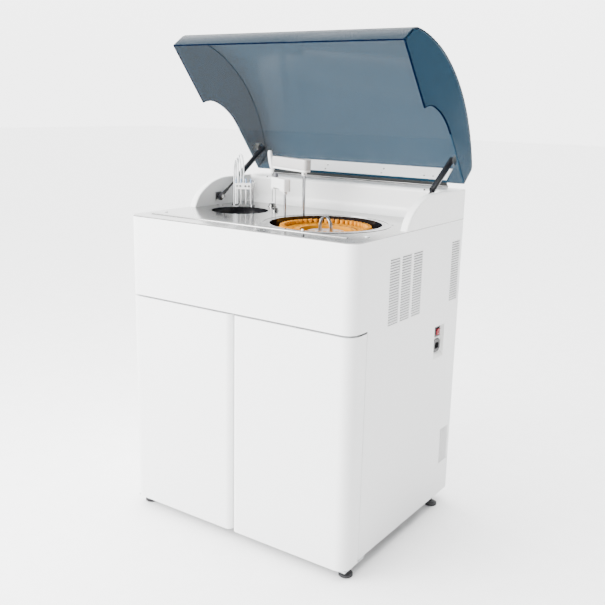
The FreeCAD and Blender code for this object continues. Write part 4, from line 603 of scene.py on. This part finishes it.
def reshape(node, name):
    """A merged copy of a node, open for editing, that will stand for it."""
    deselect()
    piece = nodes[node].copy()
    piece.data = nodes[node].data.copy()
    piece.name = name
    piece.data.name = name
    piece.parent = None
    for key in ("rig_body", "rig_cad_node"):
        del piece[key]
    bpy.context.scene.collection.objects.link(piece)
    piece.select_set(True)
    bpy.context.view_layer.objects.active = piece
    if piece.data.has_custom_normals:
        bpy.ops.mesh.customdata_custom_splitnormals_clear()
    bpy.ops.object.mode_set(mode="EDIT")
    bpy.ops.mesh.select_mode(type="FACE")
    bpy.ops.mesh.select_all(action="SELECT")
    bpy.ops.mesh.remove_doubles(threshold=0.000005)
    bpy.ops.mesh.dissolve_limited(angle_limit=math.radians(0.5))
    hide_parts(node)
    return piece


# Screws and other small repeated things

def screw(radius, height):
    """A low domed head with a cross cut in it."""
    head = close(spindle("screw", 20, radius, height, (0, 0, height / 2),
                         ((height * 0.4, 0.8), (height * 0.2, 0.62))))
    length, width = radius * 1.1, radius * 0.22
    for name, x, y in (("slot_one", length, width), ("slot_two", width, length)):
        carve(head, close(box(name, (x, y, height), (0, 0, height * 1.4))))
    return close(head, smooth=40)


def lid_screws(finish):
    """Screws in the lid's strip, at x and z of the shut lid."""
    places = [(-119, 1105), (-119, 1085), (105, 1105), (105, 1085), (262.5, 1087), (295, 1087),
              (-262.5, 1087), (-295, 1087), (-330, 1105)]
    seats = [seat("lid_bracket_strip", on_lid(x, 630, z), lid_way(1, 0)) for x, z in places]
    group = repeat(screw(0.0032, 0.0012), "lid_strip_screws", seats)
    settle(group, "lid", finish)


def hinge_screws(finish):
    """A row of screws in each leaf of the long hinge."""
    spots = [-320 + 80 * step for step in range(9)]
    lower = [seat("hinge_leaf_hood", at(x, 690, 1052), FORWARD) for x in spots]
    group = repeat(screw(0.003, 0.0011), "hinge_screws_hood", lower)
    settle(group, "cabinet", finish)
    upper = [seat("hinge_leaf_lid", on_lid(x, 680, 1086), lid_way(-1, 0)) for x in spots]
    group = repeat(screw(0.003, 0.0011), "hinge_screws_lid", upper)
    settle(group, "lid", finish)


def rear_screws(finish):
    """Screws down both edges of the rear panel and along its foot and head."""
    places = [(x, z) for x in (-398, 398) for z in (70, 240, 410, 580, 750, 920)]
    places += [(x, z) for x in (-200, 0, 200) for z in (56, 958)]
    seats = [on_back(x, z) for x, z in places]
    group = repeat(screw(0.0042, 0.0016), "rear_panel_screws", seats)
    settle(group, "cabinet", finish)


def fan_guard(finish):
    """Wire rings over the air slots at the back, tied by four spokes and four screws."""
    x, z = FAN
    centre = at(x, 668.2, z)
    for index, ring in enumerate(GUARD_RINGS):
        wire = hoop(f"fan_guard_ring_{index}", ring / 1000, 0.0009, 56, location=centre,
                    rotation=(math.pi / 2, 0, 0))
        settle(close(wire), "cabinet", finish)
    reach = 0.044
    for index in range(4):
        angle = math.pi / 4 + index * math.pi / 2
        aside = Vector((math.cos(angle) * reach, -0.0006, math.sin(angle) * reach))
        rod = begin(f"fan_guard_spoke_{index}", bpy.ops.mesh.primitive_cylinder_add, vertices=10,
                    radius=0.0011, depth=0.058, location=centre + aside,
                    rotation=(0, math.pi / 2 - angle, 0))
        settle(close(rod, 0.0003), "cabinet", finish)
    corners = (-GUARD_CORNER, GUARD_CORNER)
    seats = [on_back(x + across, z + up) for up in corners for across in corners]
    group = repeat(screw(0.0042, 0.0018), "fan_guard_screws", seats)
    settle(group, "cabinet", finish)


def louvre_lips(finish):
    """A pressed lip over each air slot in the sides."""
    for side, sign in (("right", 1), ("left", -1)):
        lip = box("lip", (0.0022, SLOT_LENGTH / 1000, 0.0016))
        choose(lip, toward(sign, 0, 0))
        resize(1, 0.96, 0.6)
        bpy.ops.transform.translate(value=(0, 0, -0.0004))
        close(lip, 0.0003)
        places = [(y + COLUMN_PITCH * column + SLOT_LENGTH / 2, z + ROW_PITCH * row + LIP_UP)
                  for y, z, columns, rows in SIDE_SLOTS[side]
                  for column in range(columns) for row in range(rows)]
        lips = [Matrix.Translation(at((SIDE_FACE + LIP_OUT) * sign, y, z)) for y, z in places]
        settle(repeat(lip, f"louvre_lips_{side}", lips), "cabinet", finish)


def slot_shadow_sheets(finish):
    """A dark sheet on the inner side of each field of air slots, as painted shade inside the slots.
    """
    for side, sign in (("right", 1), ("left", -1)):
        for index, (y, z, columns, rows) in enumerate(SIDE_SLOTS[side]):
            width = COLUMN_PITCH * (columns - 1) + SHADOW_CELL[0]
            height = ROW_PITCH * (rows - 1) + SHADOW_CELL[1]
            # The ray goes out beside the slots: between two columns, or before a single one.
            beside, up = (-3, 30) if columns == 1 else (64, 52)
            inside = at(INDOORS * sign, y + beside, z + up)
            wall = touch(f"vent_grille_{side}", inside, (sign, 0, 0))[0].x * 1000
            shadow_sheet = box(f"slot_shadow_sheet_{side}_{index}", (0.0012, width / 1000, height / 1000))
            choose(shadow_sheet, toward(sign, 0, 0))
            bpy.ops.mesh.inset(thickness=0.0008)
            close(shadow_sheet, 0.0002)
            middle = at(wall - SHADOW_GAP * sign, y + width / 2 - SHADOW_LAP, z + height / 2 - SHADOW_LAP)
            shadow_sheet.data.transform(Matrix.Translation(middle))
            settle(shadow_sheet, "cabinet", finish)


# The tinted lid

def shut(vector):
    """A direction on the open lid, as it is with the lid shut."""
    return Matrix.Rotation(LID_OPEN, 3, "X") @ vector


def lid_place(point):
    """A point of the open lid, where it is with the lid shut, in millimetres."""
    back = shut(point - at(0, HINGE_Y, HINGE_Z))
    return Vector((back.x * 1000, back.y * 1000 + HINGE_Y, back.z * 1000 + HINGE_Z))


def side_of(face):
    """How far a face's middle lies from the cabinet's middle plane, in millimetres."""
    return abs(sum(corner.co.x for corner in face.verts)) / len(face.verts) * 1000


def is_rim(face):
    """The wall's own thickness at the open edges: under the cheeks, the front and the tail."""
    corners = [lid_place(corner.co) for corner in face.verts]
    out = shut(face.normal)
    top = max(corner.z for corner in corners)
    first, last = min(corner.y for corner in corners), max(corner.y for corner in corners)
    if side_of(face) > CHEEK_INSIDE and abs(out.x) < 0.3:
        if out.z < -0.2 or (out.y > 0.3 and last < LID_BACK):
            return True
    return out.z < -0.9 and (top < LID_FOOT or (first > LID_BACK and top < LID_TAIL))


def is_rounded(face):
    """The rounded edges between the cheeks and the roof."""
    return side_of(face) > CHEEK_ROUND and 0.1 < abs(face.normal.x) < 0.985


def is_outer(face):
    """The outer skin of the roof and the front wall."""
    corners = [lid_place(corner.co) for corner in face.verts]
    y, z = ROOF_CENTRE
    roof = all(math.hypot(corner.y - y, corner.z - z) > ROOF_SKIN for corner in corners)
    front = all(corner.y < FRONT_SKIN for corner in corners)
    return (roof or front) and abs(face.normal.x) < 0.1 and not is_rim(face)


def is_cheek(face):
    """The flat outer face of a cheek."""
    sides = [abs(corner.co.x) * 1000 for corner in face.verts]
    return abs(face.normal.x) > 0.99 and min(sides) > CHEEK_OUTSIDE


def front_sink(point):
    """How far a point of the lid's front upper edge moves in, to round that edge."""
    away = Vector((point.y, point.z)) - Vector(LID_EDGE)
    roof_side = away.dot(EDGE_INWARD.orthogonal()) > 0
    along = away.dot(ROOF_INWARD.orthogonal()) if roof_side else -away.y
    if along > EDGE_REACH or point.y > EDGE_END:
        return Vector((0, 0, 0))
    if along < EDGE_NEAR:
        return Vector((0, *EDGE_INWARD)) * EDGE_DEPTH
    depth = (EDGE_REACH - along) ** 2 / (2 * EDGE_REACH / math.tan(EDGE_BEND))
    return Vector((0, *(ROOF_INWARD if roof_side else FRONT_INWARD))) * depth


def round_front(dome):
    """Cuts loops beside the lid's front upper edge and sinks their points onto one curve."""
    edge = on_lid(0, *LID_EDGE)
    for way in (lid_way(0, -1), lid_way(*ROOF_INWARD.orthogonal())):
        for step in range(1, EDGE_LOOPS + 1):
            bpy.ops.mesh.select_all(action="SELECT")
            bpy.ops.mesh.bisect(plane_co=edge + way * EDGE_REACH * step / EDGE_LOOPS, plane_no=way)
    mesh = bmesh.from_edit_mesh(dome.data)
    for corner in mesh.verts:
        place = lid_place(corner.co)
        corner.co = on_lid(*(place + front_sink(place)))
    bmesh.update_edit_mesh(dome.data)


def shade_faces(dome, name):
    """Gives the chosen faces one of the lid's painted shades."""
    dome.active_material_index = LID_SHADES.index(name)
    bpy.ops.object.material_slot_assign()


def lid_dome(finishes):
    """The lid with its front upper edge rounded, its faces in painted shades of one sheet, and a
    painted dark border round each cheek.
    """
    dome = reshape("lid_shell", "lid_dome")
    dome.data.materials.clear()
    for name in LID_SHADES:
        dome.data.materials.append(finishes[name].material)
    # Faces take painted shades by where they lie: the roof and front darker, the rims, rounded
    # edges and a border round each cheek darkest.
    for name, wanted in (("acrylic_rim", is_rim), ("acrylic_roof", is_outer),
                         ("acrylic_corner", is_rounded), ("acrylic_rim", is_cheek)):
        choose(dome, wanted)
        shade_faces(dome, name)
    bpy.ops.mesh.inset(thickness=CHEEK_BORDER)
    shade_faces(dome, "acrylic_cheek")
    round_front(dome)
    close(dome, 0.0006, angle=50, smooth=30)
    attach(dome, "lid")


# What stands on the deck

def arm_frame(centre, angle):
    """Where an arm drawn along x from its column stands."""
    return Matrix.Translation(at(*centre, 0)) @ Matrix.Rotation(math.radians(angle), 4, "Z")


def probe_cover(cover, base):
    """The sample arm: a narrowing cover over a thin base, with a shadow line between them."""
    for name, inset, low, high, edge, finish in (
            ("probe_cover", 0, PROBE_SEAM, PROBE_TOP, 0.0022, cover),
            ("probe_base", 1, PROBE_LOW, PROBE_SEAM, 0.0006, base)):
        piece = block(name, (inset - 22, inset - 15, low), (182 - inset, 15 - inset, high))
        choose(piece, toward(1, 0, 0))
        resize(1, 0.66, 1)
        round_uprights(piece, 0.0105, limit=0)
        close(piece, edge, 3)
        piece.data.transform(arm_frame(PROBE, PROBE_ANGLE))
        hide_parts("probe_arm")
        settle(piece, "probe_swing", finish)


def probe_head(white, needle):
    """The leaning head at the arm's far end, narrowing down to the needle's sleeve."""
    stand = arm_frame(PROBE, PROBE_ANGLE)
    head = spindle("probe_head", 32, 0.0046, 0.008, (NEEDLE_REACH, 0, 1.092), (
        (0.004, 1.4, 0.001), (0.010, 1.3, 0.003), (0.012, 1.08, 0.0045), (0.012, 1.0, 0.0045),
        (0.012, 0.93, 0.0035), (0.010, 0.9, 0.002), (0.004, 0.82, 0.0005), (0.002, 0.7, 0)))
    close(head, 0.0006, angle=50)
    head.data.transform(stand)
    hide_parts("probe_arm")
    settle(head, "probe_swing", white)
    nut = close(spindle("probe_head_nut", 6, 0.0052, 0.004, (NEEDLE_REACH, 0, 1.0865)), 0.0005)
    nut.data.transform(stand)
    settle(nut, "probe_swing", needle)


def collar(name, centre, radius, low, high, body, finish, screw_finish):
    """A clamp ring on a column, with a dark set screw that faces the photo's camera."""
    ring = close(spindle(name, 40, radius / 1000, (high - low - 1) / 1000,
                         (0, 0, (low + high - 1) / 2000), ((0.001, 0.9),)), 0.0005)
    ring.data.transform(Matrix.Translation(at(*centre, 0)))
    settle(ring, body, finish)
    socket = close(spindle(f"{name}_screw", 16, 0.0021, 0.0012,
                           steps=((0, 0.7), (-0.0006, 0.95))))
    middle = at(*centre, (low + high) / 2) + TO_CAMERA * radius / 1000
    socket.data.transform(facing(middle, TO_CAMERA))
    settle(socket, body, screw_finish)


def stirrer_motor(dark, white):
    """The small motor that stands on the stirrer's arm over the paddle, and the arm's seam."""
    stand = arm_frame(STIRRER, STIRRER_ANGLE)
    can = spindle("stirrer_motor", 36, 0.0085, 0.003, (PADDLE_REACH, 0, 1.0866), (
        (0.001, 0.86), (0.008, 1.0), (0.0008, 0.9), (0, 0.35), (0.0014, 1.0)))
    close(can, 0.0003)
    can.data.transform(stand)
    settle(can, "stirrer_swing", dark)
    seam = block("stirrer_seam", (-16.4, -13.4, 1068), (98.4, 13.4, 1070))
    round_uprights(seam, 0.0066)
    close(seam, 0.0004)
    seam.data.transform(stand)
    settle(seam, "stirrer_swing", white)


def wash_details(dark, blue):
    """Ports in the carriage's inner face and a barbed fitting over each nozzle."""
    carriage = arm_frame(REACTION, WASH_ANGLE)
    port = close(spindle("port", 20, 0.0034, 0.0012,
                         steps=((0.0004, 0.92), (0, 0.72), (-0.0012, 0.96))))
    inward = carriage.to_3x3() @ Vector((-1, 0, 0))
    ports = [facing(carriage @ Vector((0.0718, y, 1.0462)), inward)
             for y in (0.0207, 0.01, -0.0073, -0.019)]
    settle(repeat(port, "wash_ports", ports), "wash_head", dark)
    fitting = spindle("fitting", 20, 0.0036, 0.003, (0, 0, 0.0015), (
        (0, 0.72), (0.004, 1.0), (0, 1.25), (0.003, 0.8), (0, 1.25), (0.003, 0.8), (0.002, 0.7)))
    close(fitting, 0.0002)
    nozzles = [arm_frame(REACTION, WASH_ANGLE + NOZZLE_STEP * share)
               @ Matrix.Translation((NOZZLE_REACH, 0, 1.056)) for share in (-1.5, -0.5, 0.5, 1.5)]
    settle(repeat(fitting, "wash_fittings", nozzles), "wash_head", blue)


def rack_adapters(finish):
    """Bottle adapters: each a stem that drops into the rack, with a wider cup round its mouth."""
    cup = spindle("adapter", 16, 0.0059, 0.026, (0, 0, 0.945), (
        (0.0004, 1.2), (0.0095, 1.0), (0.0014, 0.9), (0, 0.84), (-0.030, 0.94)))
    places = [arm_frame(REAGENT, RACK_START + 360 / RACK_PLACES * step)
              @ Matrix.Translation((RACK_REACH, 0, 0)) for step in range(RACK_PLACES)]
    settle(repeat(close(cup, smooth=50), "reagent_adapters", places),
           "reagent_carousel", finish)


def cuvette_ring(finish):
    """A fine upright wall outside the cuvettes, as the disc's own rim."""
    ring = hoop("cuvette_rim", 0.0895, 0.0012, 96, 10, location=at(*REACTION, 949))
    settle(close(ring), "reaction_carousel", finish)


def arch_handle(finish):
    """The thin strap bent over the reagent disc's hub: half a flattened hoop with short feet."""
    strap = hoop("arch_handle", 0.034, 0.0014, 64, 12)
    bpy.ops.mesh.select_all(action="SELECT")
    resize(1, 1, 3.6)
    bpy.ops.transform.rotate(value=math.pi / 2, orient_axis="X", center_override=(0, 0, 0))
    bpy.ops.mesh.bisect(plane_co=(0, 0, 0.00001), plane_no=(0, 0, 1), clear_inner=True,
                        use_fill=True)
    choose(strap, lambda face: abs(face.normal.z) > 0.99
           and all(abs(corner.co.z) < 0.001 for corner in face.verts))
    bpy.ops.mesh.extrude_region_move(TRANSFORM_OT_translate={"value": (0, 0, -0.010)})
    resize(1, 1.5, 1)
    close(strap)
    turn = Matrix.Rotation(math.atan2(-0.48, 0.88), 4, "Z")
    strap.data.transform(Matrix.Translation(at(*REAGENT, 960.6)) @ turn)
    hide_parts("rack_handle")
    settle(strap, "reagent_carousel", finish)


def deck_marks(white, steel):
    """The small bead by the front edge and the ring mark beside the reagent disc."""
    bead = close(spindle("front_bead", 24, 0.0032, 0.003, (0, 0, 0.0012),
                         ((0.003, 0.96), (0.001, 0.8), (0.0005, 0.6))))
    bead.data.transform(on_worktop(186, 83))
    settle(bead, "cabinet", white)
    ring = close(hoop("ring_mark", 0.0062, 0.0007, 40))
    ring.data.transform(on_worktop(312.5, 368))
    settle(ring, "cabinet", steel)


def front_strip(finish):
    """The low bright strip behind the worktop's front edge."""
    low, high = (Vector(corner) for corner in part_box("lid_seal_rib"))
    middle = (low + high) / 2
    strip = box("front_strip", (high.x - low.x, high.y - low.y, 0.0026),
                middle - Vector((0, 0, 0.0012)))
    choose(strip, toward(0, 0, 1))
    resize(0.9996, 0.6, 1, middle)
    close(strip, 0.0006, 3)
    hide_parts("lid_seal_rib")
    settle(strip, "cabinet", finish)


def rubber_stops(finish):
    """Low clear rubber stops that the lid's cheeks come down on."""
    for index, x in enumerate((-370, 370)):
        stop = close(spindle(f"rubber_stop_{index}", 32, 0.007, 0.001, (0, 0, 0.0005),
                             ((0.0008, 0.95), (0.0006, 0.8), (0.0003, 0.5))))
        stop.data.transform(Matrix.Translation(at(x, 124, DECK_TOP)))
        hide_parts("lid_buffers")
        settle(stop, "cabinet", finish)


def strut_shoes(finish):
    """The moulded end fitting at the foot of each gas strut."""
    x, y, z = STRUT_FOOT
    for side, sign in (("left", -1), ("right", 1)):
        shoe = block(f"strut_shoe_{side}", (-8, -11.5, -9), (8, 10, 9))
        choose(shoe, toward(0, 1, 0))
        for reach, share in ((0.002, 0.9), (0.001, 0.6), (0.004, 0.9)):
            bpy.ops.mesh.extrude_region_move(TRANSFORM_OT_translate={"value": (0, reach, 0)})
            resize(share, 1, share)
        close(shoe, 0.0028, 4)
        slope = Matrix.Rotation(STRUT_SLOPE, 4, "X")
        shoe.data.transform(Matrix.Translation(at(x * sign, y, z)) @ slope)
        settle(shoe, f"{side}_strut_rod", finish)


def small_screws(finish, dark):
    """Screws on the worktop beside the strut feet, and one at each end of the hood's wall."""
    flat = [on_worktop(x, y) for x, y in ((-377, 386), (-360, 388), (377, 386), (360, 388))]
    group = repeat(screw(0.0036, 0.0014), "worktop_screws", flat)
    settle(group, "cabinet", finish)
    upright = [seat("hood_shell", at(x, 400, 1063.4), (0, 1, 0)) for x in (-309.3, 309.3)]
    group = repeat(screw(0.003, 0.0012), "hood_wall_screws", upright)
    settle(group, "cabinet", dark)


def rocker_marks(finish):
    """A bar and a ring on the rocker, for on and off."""
    bar = close(box("rocker_bar", (0.0004, 0.0024, 0.0003)), 0.00008)
    ring = close(hoop("rocker_ring", 0.0012, 0.0002, 28))
    for mark, height in ((bar, 632.5), (ring, 618.5)):
        mark.data.transform(seat("power_rocker", at(430, 543.5, height), (-1, 0, 0)))
        settle(mark, "rocker", finish)


def main():
    finishes = make_finishes()
    set_camera()
    set_world()
    set_floor(finishes["floor"])
    set_light("front_soft", at(-1700, -2300, 1900), at(0, 200, 700), (2.2, 1.6), 150)
    set_light("deck_soft", at(-700, -1100, 1500), at(0, 560, 1040), (0.7, 0.5), 18)
    set_light("top_soft", at(0, 200, 3200), at(0, 300, 800), (2.4, 2.4), 60)
    dress_nodes(finishes)
    steel, white, dark = (finishes[name] for name in (
        "hinge_steel", "white_plastic", "black_plastic"))
    lid_dome(finishes)
    lid_screws(steel)
    hinge_screws(steel)
    rear_screws(steel)
    fan_guard(steel)
    louvre_lips(finishes["white_casing"])
    slot_shadow_sheets(finishes["slot_shadow_sheet"])
    probe_cover(finishes["cover_plastic"], white)
    probe_head(white, finishes["needle_steel"])
    collar("probe_collar", PROBE, 8.2, 1095, 1105.6, "probe_swing", white, dark)
    collar("stirrer_collar", STIRRER, 7, 1038, 1046.6, "stirrer_swing", white, dark)
    stirrer_motor(finishes["motor_metal"], white)
    wash_details(dark, finishes["blue_silicone"])
    rack_adapters(finishes["yellow_plastic"])
    cuvette_ring(finishes["black_gloss"])
    front_strip(finishes["polished_steel"])
    arch_handle(steel)
    deck_marks(white, steel)
    rubber_stops(finishes["clear_tube"])
    strut_shoes(finishes["strut_black"])
    small_screws(steel, dark)
    rocker_marks(white)


main()
